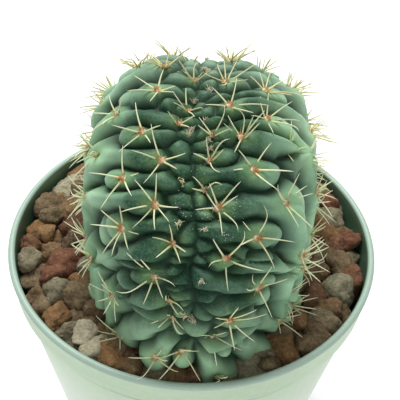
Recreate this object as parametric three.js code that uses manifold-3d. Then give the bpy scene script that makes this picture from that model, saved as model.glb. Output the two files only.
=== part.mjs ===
// A crested dwarf chin cactus in a round plastic pot, topped with lava gravel.
// Millimetres, +Z up, origin at the middle of the pot's underside. The crest runs front to back, along Y.
import * as THREE from 'three'
import { mergeVertices } from 'three/addons/utils/BufferGeometryUtils.js'
import Module from 'manifold-3d'

const wasm = await Module()
wasm.setup()

// Pot
const POT_HEIGHT = 80
const RIM_RADIUS = 50
const COLLAR_RADIUS = 49.2
const COLLAR_HEIGHT = 9
const STEP_HEIGHT = 12
const WALL_TOP_RADIUS = 47.6
const LIP = { innerRadius: 47.6, neckRadius: 47.3, collarInnerRadius: 47 }
const WALL_TAPER = THREE.MathUtils.degToRad(9)
const WALL_THICKNESS = 1.3
const FLOOR_THICKNESS = 2
const POT_SIDES = 48
const DRAIN_COUNT = 6
const DRAIN_RADIUS = 3
const DRAIN_CIRCLE = 24

// Soil and gravel
const FIT_GAP = 0.35
const SOIL_LEVEL = 64
const GRAVEL_LEVEL = 73
const GRAVEL_EDGE = 46.4
const STONE_SPACING = 7
const STONE_RINGS = [42.6, 36.2, 29.8]
const STONE = {
  radius: { least: 4, most: 5.4 },
  corner: { least: 0.82, most: 1.12 },
  breadth: { least: 0.75, most: 1 },
  height: { least: 0.65, most: 0.85 },
  lift: { least: -0.2, most: 0.9 },
  jitter: 1.2,
}
const CHIN_ROOM = 4.5

// Plain body of the crest, before its ribs and chins are raised on it
const BODY_CENTRE = new THREE.Vector3(0, -1, 88.5)
const BODY_HALF = { left: 24.3, right: 27.2, front: 42, back: 37, height: 38.5 }
const SQUARENESS = { top: 3.3, front: 2.1 }
const CREST_ROUNDNESS = 2.1
const GROOVE = { depth: 1.8, halfWidth: 4, sway: 0.6, swaysPerTurn: 17 }
const DOME_POWER = 0.62
const TAPROOT = { length: 33, topRadius: 8, tipRadius: 3, bury: 5, sides: 16 }

// Areoles that show from the front, as [degrees round the crest from the front, degrees out from it]
const LEFT_AREOLES = [[-1, 1.5], [-3.5, 7], [11.5, 4.5], [-6.5, 19.5], [18.5, 5], [14, 21], [26, 8.5],
  [35, 5], [21, 33], [38.5, 17.5], [45.5, 9], [50.5, 39], [53.5, 19], [58.5, 8.5], [65, 31], [68, 14.5],
  [72, 5], [80.5, 24.5], [85.5, 11.5], [99.5, 10.5], [103, 34], [110, 4], [113, 22]]
const RIGHT_AREOLES = [[-12, 7.5], [5, 7], [-15, 20], [13.5, 10], [-7.5, 33], [21.5, 18.5], [31, 9],
  [20, 43], [38, 16.5], [45.5, 7], [49, 26], [57, 15], [59.5, 4], [67, 12.5], [69, 33.5], [68.5, 5],
  [77.5, 20.5], [79.5, 9], [92, 40], [93.5, 20.5], [92.5, 7.5], [108, 9.5], [113, 30], [118, 20]]
// How far a chin's middle lies out from its areole, in degrees
const CHIN_SHIFT = 2.5
// Rows that go on round the back and down the flanks: degrees out, step, first and last place round the crest
const FURTHER_ROWS = [
  { out: 11, step: 17, from: 122, to: 215 },
  { out: 21, step: 17, from: 130, to: 215 },
  { out: 33, step: 17, from: 126, to: 215 },
  { out: 48, step: 23, from: -34, to: 215 },
  { out: 62, step: 38, from: -20, to: 215 },
  { out: 79, step: 85, from: 0, to: 200 },
]
const FILLER_ROWS = { outs: [34, 22, 12], step: 4, room: 7.4 }
const BUD_ROWS = [
  { out: 3, step: 5.5, room: 3.0, rise: 2.0 },
  { out: 6.5, step: 6.5, room: 3.9, rise: 2.5 },
]
const BUD = { length: 2.4, halfWidth: 2.25, shift: 1.3 }
const ROUND_RANGE = { from: -30, to: 215 }

// Spines
const SPINE = { perChin: 5, length: 6.8, rise: 26, riseSpread: 14, bendTries: 8, bendStep: 0.25 }
const SPINE_CHECKS = [0.3, 0.55, 0.8, 1]
const AREOLE = { radius: 0.85, rise: 0.5, rim: 0.25, sunk: 1.6 }
const STONE_TOPS = 78.8
const LOWEST_AREOLE = 77.5
const RIM_CLEAR = { radius: 45.3, height: 81 }
const BOX_LIMIT = 49.8
// Side of the block that cuts the body off at the soil
const SPARE = 100

// Steady scatter from 0 to 1, the same every time for the same number
function scatter (seed) {
  const value = Math.sin(seed * 12.9898) * 43758.5453
  return value - Math.floor(value)
}

// Steady scatter between two values
function between (range, seed) {
  return THREE.MathUtils.lerp(range.least, range.most, scatter(seed))
}

// A closed solid from a geometry whose corners are merged
function toSolid (geometry) {
  geometry.deleteAttribute('normal')
  geometry.deleteAttribute('uv')
  const merged = mergeVertices(geometry)
  return new wasm.Manifold(new wasm.Mesh({
    numProp: 3,
    vertProperties: new Float32Array(merged.attributes.position.array),
    triVerts: new Uint32Array(merged.index.array),
  }))
}

// A named mesh from a solid, with its own material
function toMesh (name, solid, look) {
  const { vertProperties, triVerts } = solid.getMesh()
  const geometry = new THREE.BufferGeometry()
  geometry.setAttribute('position', new THREE.BufferAttribute(vertProperties, 3))
  geometry.setIndex(new THREE.BufferAttribute(triVerts, 1))
  geometry.computeVertexNormals()
  const mesh = new THREE.Mesh(geometry, new THREE.MeshStandardMaterial({ metalness: 0, ...look }))
  mesh.name = name
  return mesh
}

// A turned solid about Z from [radius, height] pairs that start and end on the axis
function turned (profile, sides) {
  const points = profile.map(([radius, height]) => new THREE.Vector2(radius, height))
  return toSolid(new THREE.LatheGeometry(points, sides).rotateX(Math.PI / 2))
}

// Radius of the pot's tapered wall, outside, at a height below its collar
function wallOutside (height) {
  return WALL_TOP_RADIUS - (POT_HEIGHT - STEP_HEIGHT - height) * Math.tan(WALL_TAPER)
}

// Radius of its inner face
function wallInside (height) {
  return wallOutside(height) - WALL_THICKNESS
}

// The pot: a tapered wall with a collar and a rolled lip, and drainage holes in its floor
function makePot () {
  const stepLevel = POT_HEIGHT - STEP_HEIGHT
  const collarLevel = POT_HEIGHT - COLLAR_HEIGHT
  const shell = turned([
    [0, 0],
    [wallOutside(0) - 1, 0],
    [wallOutside(0), 1],
    [wallOutside(stepLevel), stepLevel],
    [wallOutside(stepLevel) + 0.2, collarLevel - 0.4],
    [COLLAR_RADIUS - 0.3, collarLevel],
    [COLLAR_RADIUS, collarLevel + 0.6],
    [COLLAR_RADIUS + 0.1, POT_HEIGHT - 2.2],
    [RIM_RADIUS, POT_HEIGHT - 1.4],
    [RIM_RADIUS, POT_HEIGHT - 0.6],
    [RIM_RADIUS - 0.6, POT_HEIGHT],
    [RIM_RADIUS - 1.4, POT_HEIGHT - 0.1],
    [LIP.innerRadius, POT_HEIGHT - 1],
    [LIP.neckRadius, POT_HEIGHT - 1.8],
    [LIP.collarInnerRadius, collarLevel + 0.5],
    [wallInside(stepLevel), stepLevel - 1],
    [wallInside(FLOOR_THICKNESS) + 0.1, FLOOR_THICKNESS + 1],
    [wallInside(FLOOR_THICKNESS) - 1, FLOOR_THICKNESS],
    [0, FLOOR_THICKNESS],
  ], POT_SIDES)
  let pot = shell
  for (let i = 0; i < DRAIN_COUNT; i++) {
    const angle = (i * 2 * Math.PI) / DRAIN_COUNT
    const drain = new THREE.CylinderGeometry(DRAIN_RADIUS, DRAIN_RADIUS, 3 * FLOOR_THICKNESS, 12)
      .rotateX(Math.PI / 2)
      .translate(DRAIN_CIRCLE * Math.cos(angle), DRAIN_CIRCLE * Math.sin(angle), FLOOR_THICKNESS / 2)
    pot = pot.subtract(toSolid(drain))
  }
  return toMesh('pot', pot, { color: 0xc3d3b8, roughness: 0.45 })
}

// The soil, with a hole for the root
function makeSoil () {
  const soil = turned([
    [0, FLOOR_THICKNESS],
    [wallInside(FLOOR_THICKNESS) - 1.5, FLOOR_THICKNESS],
    [wallInside(FLOOR_THICKNESS + 2) - FIT_GAP, FLOOR_THICKNESS + 2],
    [wallInside(SOIL_LEVEL) - FIT_GAP, SOIL_LEVEL],
    [TAPROOT.topRadius + 2 * FIT_GAP, SOIL_LEVEL],
    [TAPROOT.tipRadius + FIT_GAP, SOIL_LEVEL - TAPROOT.length - FIT_GAP],
    [0, SOIL_LEVEL - TAPROOT.length - FIT_GAP],
  ], POT_SIDES)
  return toMesh('soil', soil, { color: 0x3a2d22, roughness: 0.95 })
}

// Unit direction for the angles round the crest and out from it, in degrees
function direction (round, out) {
  const r = THREE.MathUtils.degToRad(round)
  const o = THREE.MathUtils.degToRad(out)
  return new THREE.Vector3(Math.sin(o), -Math.cos(o) * Math.cos(r), Math.cos(o) * Math.sin(r))
}

// The plain body's half sizes on the side where a vector points
function halfSizes (v) {
  const across = v.x < 0 ? BODY_HALF.left : BODY_HALF.right
  const along = v.y < 0 ? BODY_HALF.front : BODY_HALF.back
  return [across, along, BODY_HALF.height]
}

// How square the body is where a vector points: less towards the front
function squareness (v) {
  const ahead = THREE.MathUtils.clamp(-v.y / (Math.hypot(v.y, v.z) + 1e-12), 0, 1)
  return THREE.MathUtils.lerp(SQUARENESS.top, SQUARENESS.front, ahead ** 3)
}

// Size of a vector in the body's own rounded-box measure: 1 on the plain body
function bodyMeasure (v) {
  const [a, b, c] = halfSizes(v)
  const n = squareness(v)
  const arch = (Math.abs(v.y) / b) ** CREST_ROUNDNESS + (Math.abs(v.z) / c) ** CREST_ROUNDNESS
  return ((Math.abs(v.x) / a) ** n + arch ** (n / CREST_ROUNDNESS)) ** (1 / n)
}

// Point of the plain body
function bodyPoint (round, out) {
  const way = direction(round, out)
  return way.multiplyScalar(1 / bodyMeasure(way)).add(BODY_CENTRE)
}

// Outward normal of the plain body, from the slope of its measure at a steady squareness
function bodyNormal (point) {
  const v = point.clone().sub(BODY_CENTRE)
  const [a, b, c] = halfSizes(v)
  const n = squareness(v)
  const [x, y, z] = [Math.abs(v.x) / a, Math.abs(v.y) / b, Math.abs(v.z) / c]
  const arch = (y ** CREST_ROUNDNESS + z ** CREST_ROUNDNESS + 1e-9) ** (n / CREST_ROUNDNESS - 1)
  return new THREE.Vector3(
    (x ** (n - 1) / a) * Math.sign(v.x),
    ((arch * y ** (CREST_ROUNDNESS - 1)) / b) * Math.sign(v.y),
    ((arch * z ** (CREST_ROUNDNESS - 1)) / c) * Math.sign(v.z),
  ).normalize()
}

// A chin's lengths towards and away from the crest, half width and rise, which grow down the flank
function chinShape (out) {
  const grown = THREE.MathUtils.clamp((out - 8) / 26, 0, 1)
  const low = THREE.MathUtils.clamp((out - 34) / 20, 0, 1)
  return {
    inner: 5.2 + 6 * grown - 3.5 * low,
    outer: 5 + 1.8 * grown,
    halfWidth: 3.55 + 0.75 * grown + 0.9 * low,
    rise: 2.9 + 0.9 * grown,
  }
}

// A lobe with the frame that its footprint is measured in
function makeLobe (side, round, out, shape, armed) {
  const centre = bodyPoint(round, side * out)
  const normal = bodyNormal(centre)
  const away = bodyPoint(round, side * (out + 0.5)).sub(centre).normalize()
  const along = normal.clone().cross(away)
  return { side, round, out, centre, normal, away, along, armed, ...shape }
}

// Whether a place is farther than a distance from the middle of every lobe
function isClear (lobes, centre, room) {
  return lobes.every((lobe) => lobe.centre.distanceTo(centre) > room)
}

// Every lobe on one side: chins, their further rows, unarmed fillers between them and buds by the crest
function sideLobes (side, areoles) {
  const lobes = areoles.map(([round, out]) => {
    return makeLobe(side, round, out + CHIN_SHIFT, chinShape(out + CHIN_SHIFT), true)
  })
  for (const row of FURTHER_ROWS) {
    for (let round = row.from; round < row.to; round += row.step) {
      lobes.push(makeLobe(side, round, row.out, chinShape(row.out), true))
    }
  }
  for (const out of FILLER_ROWS.outs) {
    for (let round = ROUND_RANGE.from + 2; round < ROUND_RANGE.to; round += FILLER_ROWS.step) {
      if (!isClear(lobes, bodyPoint(round, side * out), FILLER_ROWS.room)) continue
      const shape = chinShape(out)
      shape.inner *= 0.8
      shape.outer *= 0.9
      shape.rise *= 0.85
      lobes.push(makeLobe(side, round, out, shape, false))
    }
  }
  const buds = []
  for (const { out, step, room, rise } of BUD_ROWS) {
    for (let start = ROUND_RANGE.from; start < ROUND_RANGE.to; start += step) {
      const round = start + side * BUD.shift
      if (!isClear(lobes, bodyPoint(round, side * out), room)) continue
      const shape = { inner: BUD.length, outer: BUD.length, halfWidth: BUD.halfWidth, rise }
      buds.push(makeLobe(side, round, out, shape, false))
    }
  }
  return lobes.concat(buds)
}

const LOBES = sideLobes(-1, LEFT_AREOLES).concat(sideLobes(1, RIGHT_AREOLES))

// Height of the highest lobe over a point of the plain body, each a dome on an egg-shaped footprint
function lobeHeight (point) {
  let highest = 0
  for (const lobe of LOBES) {
    const offset = point.clone().sub(lobe.centre)
    const distance = offset.length()
    if (distance > lobe.inner + lobe.outer) continue
    const outward = offset.dot(lobe.away)
    const sideways = offset.dot(lobe.along)
    const stretch = distance / (Math.hypot(outward, sideways) + 1e-9)
    const length = outward > 0 ? lobe.outer : lobe.inner
    const reach = ((outward * stretch) / length) ** 2 + ((sideways * stretch) / lobe.halfWidth) ** 2
    if (reach < 1) highest = Math.max(highest, lobe.rise * (1 - reach) ** DOME_POWER)
  }
  return highest
}

// Depth of the groove that the crest's growing line lies in
function grooveDepth (point, round) {
  const middle = GROOVE.sway * Math.sin(THREE.MathUtils.degToRad(round) * GROOVE.swaysPerTurn)
  return GROOVE.depth * Math.exp(-(((point.x - middle) / GROOVE.halfWidth) ** 2))
}

// Point of the skin
function crestPoint (round, out) {
  const point = bodyPoint(round, out)
  return point.clone().addScaledVector(bodyNormal(point), lobeHeight(point) - grooveDepth(point, round))
}

// Closed skin from places round the crest and out from it, with a point at each flank's middle
function closedSkin (rounds, outs, place) {
  const points = [place(0, -90), place(0, 90)]
  for (const round of rounds) {
    for (const out of outs) points.push(place(round, out))
  }
  const at = (i, j) => 2 + (i % rounds.length) * outs.length + j
  const triangles = []
  for (let i = 0; i < rounds.length; i++) {
    triangles.push(0, at(i, 0), at(i + 1, 0))
    triangles.push(1, at(i + 1, outs.length - 1), at(i, outs.length - 1))
    for (let j = 0; j < outs.length - 1; j++) {
      triangles.push(at(i, j), at(i + 1, j + 1), at(i + 1, j))
      triangles.push(at(i, j), at(i, j + 1), at(i + 1, j + 1))
    }
  }
  const geometry = new THREE.BufferGeometry().setFromPoints(points)
  geometry.setIndex(triangles)
  return toSolid(geometry)
}

// Evenly spaced numbers from one value to another, both included
function evenly (from, to, count) {
  return Array.from({ length: count }, (_, i) => from + ((to - from) * i) / (count - 1))
}

// The spines of one chin as one star: a small cushion whose top facets are each drawn out to a spine's tip
function chinSpines (lobe, index) {
  const areole = crestPoint(lobe.round, lobe.side * (lobe.out - CHIN_SHIFT))
  const around = (turn, radius, height) => areole.clone()
    .addScaledVector(lobe.away, Math.cos(turn) * radius)
    .addScaledVector(lobe.along, Math.sin(turn) * radius)
    .addScaledVector(lobe.normal, height)
  const points = [around(0, 0, AREOLE.rise), around(0, 0, -AREOLE.sunk)]
  const step = (2 * Math.PI) / SPINE.perChin
  const start = step * scatter(index)
  for (let k = 0; k < SPINE.perChin; k++) points.push(around(start + k * step, AREOLE.radius, -AREOLE.rim))
  const triangles = []
  for (let k = 0; k < SPINE.perChin; k++) {
    const [near, far] = [2 + k, 2 + ((k + 1) % SPINE.perChin)]
    triangles.push(1, far, near)
    const turn = start + (k + 0.35 + 0.3 * scatter(index * 10 + k)) * step
    const tip = spineTip(lobe, areole, turn, index * 10 + k)
    if (!tip) {
      triangles.push(0, near, far)
      continue
    }
    triangles.push(0, near, points.length, near, far, points.length, far, 0, points.length)
    points.push(tip)
  }
  const star = new THREE.BufferGeometry().setFromPoints(points)
  star.setIndex(triangles)
  return toSolid(star)
}

// Tip of a spine that leans out at the given turn round its areole, bent clear of the gravel and the rim
function spineTip (lobe, areole, turn, draw) {
  const rise = THREE.MathUtils.degToRad(SPINE.rise + SPINE.riseSpread * scatter(draw + 0.5))
  const length = SPINE.length * (0.85 + 0.3 * scatter(draw + 0.7))
  const way = lobe.away.clone().multiplyScalar(Math.cos(turn) * Math.cos(rise))
    .addScaledVector(lobe.along, Math.sin(turn) * Math.cos(rise))
    .addScaledVector(lobe.normal, Math.sin(rise))
  for (let tries = 0; tries < SPINE.bendTries; tries++) {
    way.normalize()
    if (spineIsClear(areole, way, length)) return areole.clone().addScaledVector(way, length)
    way.z += SPINE.bendStep
  }
  return null
}

// Whether a straight spine stays over the stones, over the rim and inside the pot's width
function spineIsClear (areole, way, length) {
  return SPINE_CHECKS.every((share) => {
    const point = areole.clone().addScaledVector(way, length * share)
    const radius = Math.hypot(point.x, point.y)
    return point.z > (radius > RIM_CLEAR.radius ? RIM_CLEAR.height : STONE_TOPS) && radius < BOX_LIMIT
  })
}

// The plant: its skin cut flat where it sits on the soil, its root and its spines
function makeCactus () {
  const rounds = evenly(ROUND_RANGE.from - 6, ROUND_RANGE.to + 1, 66).concat([240, 270, 300])
  const outs = [-82, -72, -63, -54].concat(evenly(-47, 47, 30), [54, 63, 72, 82])
  const skin = closedSkin(rounds, outs, crestPoint)
  const below = new THREE.BoxGeometry(2 * SPARE, 2 * SPARE, SPARE).translate(0, 0, SOIL_LEVEL - SPARE / 2)
  const root = turned([
    [0, SOIL_LEVEL - TAPROOT.length],
    [TAPROOT.tipRadius, SOIL_LEVEL - TAPROOT.length],
    [TAPROOT.topRadius, SOIL_LEVEL],
    [TAPROOT.topRadius, SOIL_LEVEL + TAPROOT.bury],
    [0, SOIL_LEVEL + TAPROOT.bury],
  ], TAPROOT.sides)
  const spines = LOBES.flatMap((lobe, index) => {
    return lobe.armed && lobe.centre.z > LOWEST_AREOLE ? [chinSpines(lobe, index)] : []
  })
  const cactus = wasm.Manifold.union([skin.subtract(toSolid(below)), root, ...spines])
  return toMesh('cactus', cactus, { color: 0x567a62, roughness: 0.6 })
}

// One rough stone: an icosahedron with its corners pushed in and out, flattened and turned
function makeStone (x, y, seed) {
  const stone = new THREE.IcosahedronGeometry(1, 0)
  stone.deleteAttribute('normal')
  stone.deleteAttribute('uv')
  const lumpy = mergeVertices(stone)
  const corner = new THREE.Vector3()
  for (let i = 0; i < lumpy.attributes.position.count; i++) {
    corner.fromBufferAttribute(lumpy.attributes.position, i)
    corner.multiplyScalar(between(STONE.corner, seed * 20 + i))
    lumpy.attributes.position.setXYZ(i, corner.x, corner.y, corner.z)
  }
  const room = GRAVEL_EDGE + 0.2 - Math.hypot(x, y)
  const radius = Math.min(between(STONE.radius, seed), room)
  lumpy.scale(radius, radius * between(STONE.breadth, seed + 0.3), radius * between(STONE.height, seed + 0.6))
    .rotateZ(2 * Math.PI * scatter(seed + 0.9))
    .translate(x, y, GRAVEL_LEVEL + between(STONE.lift, seed + 0.2))
  return toSolid(lumpy)
}

// The gravel: a bed with rough stones in rings, hollowed round the plant
function makeGravel () {
  const bed = turned([
    [0, SOIL_LEVEL],
    [wallInside(SOIL_LEVEL) - FIT_GAP, SOIL_LEVEL],
    [GRAVEL_EDGE, GRAVEL_LEVEL],
    [0, GRAVEL_LEVEL],
  ], POT_SIDES)
  const stones = []
  STONE_RINGS.forEach((ring, i) => {
    const count = Math.floor((2 * Math.PI * ring) / STONE_SPACING)
    for (let j = 0; j < count; j++) {
      const seed = 100 * (i + 1) + j
      const angle = ((j + 0.5 * (i % 2) + 0.3 * scatter(seed + 0.1)) * 2 * Math.PI) / count
      const radius = ring - STONE.jitter * scatter(seed + 0.4)
      const [x, y] = [radius * Math.cos(angle), radius * Math.sin(angle)]
      const offset = new THREE.Vector3(x, y, GRAVEL_LEVEL).sub(BODY_CENTRE)
      if (bodyMeasure(offset) > 1) stones.push(makeStone(x, y, seed))
    }
  })
  const room = closedSkin(evenly(0, 348, 30), evenly(-77, 77, 15), (round, out) => {
    const point = bodyPoint(round, out)
    return point.addScaledVector(bodyNormal(point), CHIN_ROOM)
  })
  const gravel = wasm.Manifold.union([bed, ...stones]).subtract(room)
  return toMesh('gravel', gravel, { color: 0x6d5539, roughness: 0.95 })
}

const pottedCrest = new THREE.Group()
pottedCrest.add(makePot(), makeSoil(), makeGravel(), makeCactus())

export default pottedCrest
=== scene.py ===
"""A crested dwarf chin cactus in a mint plastic pot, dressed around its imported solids.

Shapes are worked out in millimetres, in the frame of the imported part, and put into meshes in metres.
"""
import logging
import math
from dataclasses import dataclass, field
from enum import Enum, IntEnum
from typing import Iterable, Optional, Sequence, Union

import bpy
import numpy as np
from mathutils import Matrix, Vector


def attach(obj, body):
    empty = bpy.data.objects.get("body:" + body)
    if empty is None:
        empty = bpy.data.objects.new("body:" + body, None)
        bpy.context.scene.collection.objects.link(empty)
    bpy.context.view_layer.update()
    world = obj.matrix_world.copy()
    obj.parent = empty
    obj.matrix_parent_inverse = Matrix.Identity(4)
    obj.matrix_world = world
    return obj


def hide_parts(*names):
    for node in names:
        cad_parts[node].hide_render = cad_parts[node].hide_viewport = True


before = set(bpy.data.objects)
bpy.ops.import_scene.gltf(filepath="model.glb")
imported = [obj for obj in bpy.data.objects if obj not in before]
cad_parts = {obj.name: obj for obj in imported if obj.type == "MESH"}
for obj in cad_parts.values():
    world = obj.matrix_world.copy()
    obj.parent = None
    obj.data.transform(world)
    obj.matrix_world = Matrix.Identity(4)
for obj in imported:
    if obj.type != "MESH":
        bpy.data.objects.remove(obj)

LOG = logging.getLogger("potted_crest")
MM = 0.001
BODY = "root"
TURN = 2 * math.pi
RIPPLE_SPREAD = (0.7, 1.5)
RIPPLE_PEAK = 1.2
Array = np.ndarray
Pair = tuple[float, float]
Place = tuple[float, float, float]
Colour = tuple[float, float, float]
Socket = bpy.types.NodeSocket
Tree = bpy.types.NodeTree
Material = bpy.types.Material
Given = Union[float, tuple[float, ...], Socket, Tree]


class Slot(Enum):
    """Names of the material slots, one passed with each piece."""

    POT = "pot_plastic"
    GRAVEL = "lava_gravel"
    PLANT = "cactus_skin"


class Side(Enum):
    """The two sides of the crest, with the sign of X there."""

    LEFT = -1
    RIGHT = 1


class Seed(IntEnum):
    """What starts each run of random numbers."""

    WRINKLES = 3
    RIBS = 5
    SPINES = 11
    BENDS = 12
    TAPERS = 13
    WOOL = 21
    HAIRS = 31
    SCRAPS = 41
    GRAINS = 51
    STONES = 61
    GRIT = 62
    SMALL_STONES = 63
    BED = 71


# Number helpers

def unit(vectors: Array) -> Array:
    """Vectors divided by their lengths."""
    return vectors / (np.linalg.norm(vectors, axis=-1, keepdims=True) + 1e-12)


def smooth_step(low: float, high: float, value: Array) -> Array:
    """The cubic step 3t^2 - 2t^3 of how far the value is from low to high."""
    t = np.clip((value - low) / (high - low), 0, 1)
    return t * t * (3 - 2 * t)


def around(count: int) -> Array:
    """Angles spaced evenly round a full turn."""
    return np.arange(count) * TURN / count


def ripple(points: Array, wavelength: float, seed: int, waves: int = 10) -> Array:
    """Soft noise from -1 to 1: the mean of plane sine waves in seeded directions, scaled up.

    Args:
        points: places, with X, Y and Z on the last axis.
        wavelength: the middle wavelength, in the points' units.
        seed: picks the directions and phases.
        waves: how many waves are added.

    Returns:
        One number for each point.
    """
    draw = np.random.default_rng(seed)
    ways = unit(draw.normal(size=(waves, 3))) * draw.uniform(*RIPPLE_SPREAD, (waves, 1))
    phases = draw.uniform(0, TURN, waves)
    return np.sin(points @ ways.T * (TURN / wavelength) + phases).sum(-1) / math.sqrt(waves) / RIPPLE_PEAK


def add_ripples(points: Array, layers: Sequence[Pair], seed: int) -> Array:
    """Ripples added up, each with its own size and wavelength, seeded one after another."""
    return sum(size * ripple(points, length, seed + i) for i, (size, length) in enumerate(layers))


# Mesh helpers

def store_values(mesh: bpy.types.Mesh, key: str, numbers: Array) -> None:
    """Stores one number for each corner of a mesh under a name."""
    layer = mesh.attributes.new(key, "FLOAT", "POINT")
    layer.data.foreach_set("value", np.asarray(numbers, np.float32).ravel())


def make_piece(name: str, points: Array, quads: Array, triangles: Optional[Array] = None,
               values: Optional[dict[str, Array]] = None) -> bpy.types.Object:
    """A smooth-shaded mesh object at the origin.

    Args:
        name: the piece's name.
        points: corners in millimetres, one row each.
        quads: corner numbers of the four-sided faces.
        triangles: corner numbers of the three-sided faces.
        values: attributes with one number for each corner.

    Returns:
        The new object, in the scene.
    """
    triangles = np.empty((0, 3), int) if triangles is None else triangles
    corners = np.concatenate([quads.ravel(), triangles.ravel()]).astype(np.int32)
    sizes = np.concatenate([np.full(len(quads), 4), np.full(len(triangles), 3)])
    starts = (np.cumsum(sizes) - sizes).astype(np.int32)
    mesh = bpy.data.meshes.new(name)
    mesh.vertices.add(len(points))
    mesh.vertices.foreach_set("co", (points * MM).astype(np.float32).ravel())
    mesh.loops.add(len(corners))
    mesh.loops.foreach_set("vertex_index", corners)
    mesh.polygons.add(len(sizes))
    mesh.polygons.foreach_set("loop_start", starts)
    mesh.update(calc_edges=True)
    for key, numbers in (values or {}).items():
        store_values(mesh, key, numbers)
    mesh.shade_smooth()
    piece = bpy.data.objects.new(name, mesh)
    bpy.context.scene.collection.objects.link(piece)
    return piece


def grid_quads(rows: int, columns: int, close_rows: bool = False, close_columns: bool = False) -> Array:
    """Corner numbers of the faces between the points of a grid stored row by row.

    Args:
        rows: how many rows the grid has.
        columns: how many points are in a row.
        close_rows: joins the last row to the first.
        close_columns: joins each row's last point to its first.

    Returns:
        Faces of four corners, counter-clockwise where rows run up and columns run right.
    """
    i = np.arange(rows if close_rows else rows - 1)[:, None]
    j = np.arange(columns if close_columns else columns - 1)[None, :]
    below, above = i * columns, (i + 1) % rows * columns
    left, right = j, (j + 1) % columns
    return np.stack([below + left, below + right, above + right, above + left], -1).reshape(-1, 4)


def fan(centre: int, ring: Array) -> Array:
    """Triangles from a centre to each step of a closed ring, all given by their corner numbers."""
    return np.stack([np.full(len(ring), centre), ring, np.roll(ring, -1)], 1)


def ring_faces(rows: int, sides: int, flip: bool = False) -> tuple[Array, Array]:
    """Faces of rings stored one after another, closed with two end points that are stored last.

    Args:
        rows: how many rings there are.
        sides: how many corners a ring has.
        flip: turns every face over.

    Returns:
        The four-sided faces between the rings, and the triangles round the end points.
    """
    quads = grid_quads(rows, sides, close_columns=True)
    ring, last, end = np.arange(sides), (rows - 1) * sides, rows * sides
    caps = np.concatenate([fan(end, ring)[:, [0, 2, 1]], fan(end + 1, last + ring)])
    return (quads[:, ::-1], caps[:, [0, 2, 1]]) if flip else (quads, caps)


def repeat_faces(faces: Array, copies: int, corners: int) -> Array:
    """The same faces for many copies of a shape that are stored one after another."""
    return (faces[None] + (np.arange(copies) * corners)[:, None, None]).reshape(-1, faces.shape[1])


def round_rings(radii: Array, levels: Array | float, sides: int) -> Array:
    """Points on rings about Z, an array of rings by sides by 3.

    Args:
        radii: a column of radii, or one radius for each point.
        levels: a column of levels, or one level.
        sides: how many points a ring has.

    Returns:
        The points.
    """
    x, y = radii * np.cos(around(sides)), radii * np.sin(around(sides))
    return np.stack([x, y, np.broadcast_to(levels, x.shape)], -1)


def sweep_tubes(paths: Array, radii: Array, sides: int) -> tuple[Array, Array, Array]:
    """Tubes of one section size carried along many paths at once, closed with a point at both ends.

    A ring stands square to the path at each of its points: centre + radius (cos a side + sin a up).

    Args:
        paths: an array of tubes by points by 3.
        radii: the tube's radius at each point, tubes by points.
        sides: how many corners a ring has.

    Returns:
        The corners, the four-sided faces and the three-sided faces.
    """
    tubes, steps, _ = paths.shape
    tangent = unit(np.gradient(paths, axis=1))
    helper = np.where(abs(tangent[:, :1, 2:]) > 0.8, [[[1.0, 0, 0]]], [[[0, 0, 1.0]]])
    side = unit(np.cross(tangent, np.broadcast_to(helper, tangent.shape)))
    up = np.cross(side, tangent)
    angle = around(sides)
    ring = np.cos(angle)[:, None] * side[:, :, None] + np.sin(angle)[:, None] * up[:, :, None]
    rings = (paths[:, :, None] + radii[:, :, None, None] * ring).reshape(tubes, -1, 3)
    points = np.concatenate([rings, paths[:, :1], paths[:, -1:]], 1)
    corners = points.shape[1]
    quads, caps = ring_faces(steps, sides, flip=True)
    return points.reshape(-1, 3), repeat_faces(quads, tubes, corners), repeat_faces(caps, tubes, corners)


def tube_values(numbers: Array, paths: Array, sides: int) -> Array:
    """A number for each corner of sweep_tubes' points, from one for each tube, each step or both.

    Args:
        numbers: the values, in any shape that spreads over tubes by points.
        paths: the tubes' paths, as sweep_tubes takes them.
        sides: how many corners a ring has.

    Returns:
        The values in the order of the corners.
    """
    per_step = np.broadcast_to(numbers, paths.shape[:2])
    rings = np.repeat(per_step, sides, axis=1)
    return np.concatenate([rings, per_step[:, :1], per_step[:, -1:]], 1).ravel()


# Shader helpers

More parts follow.
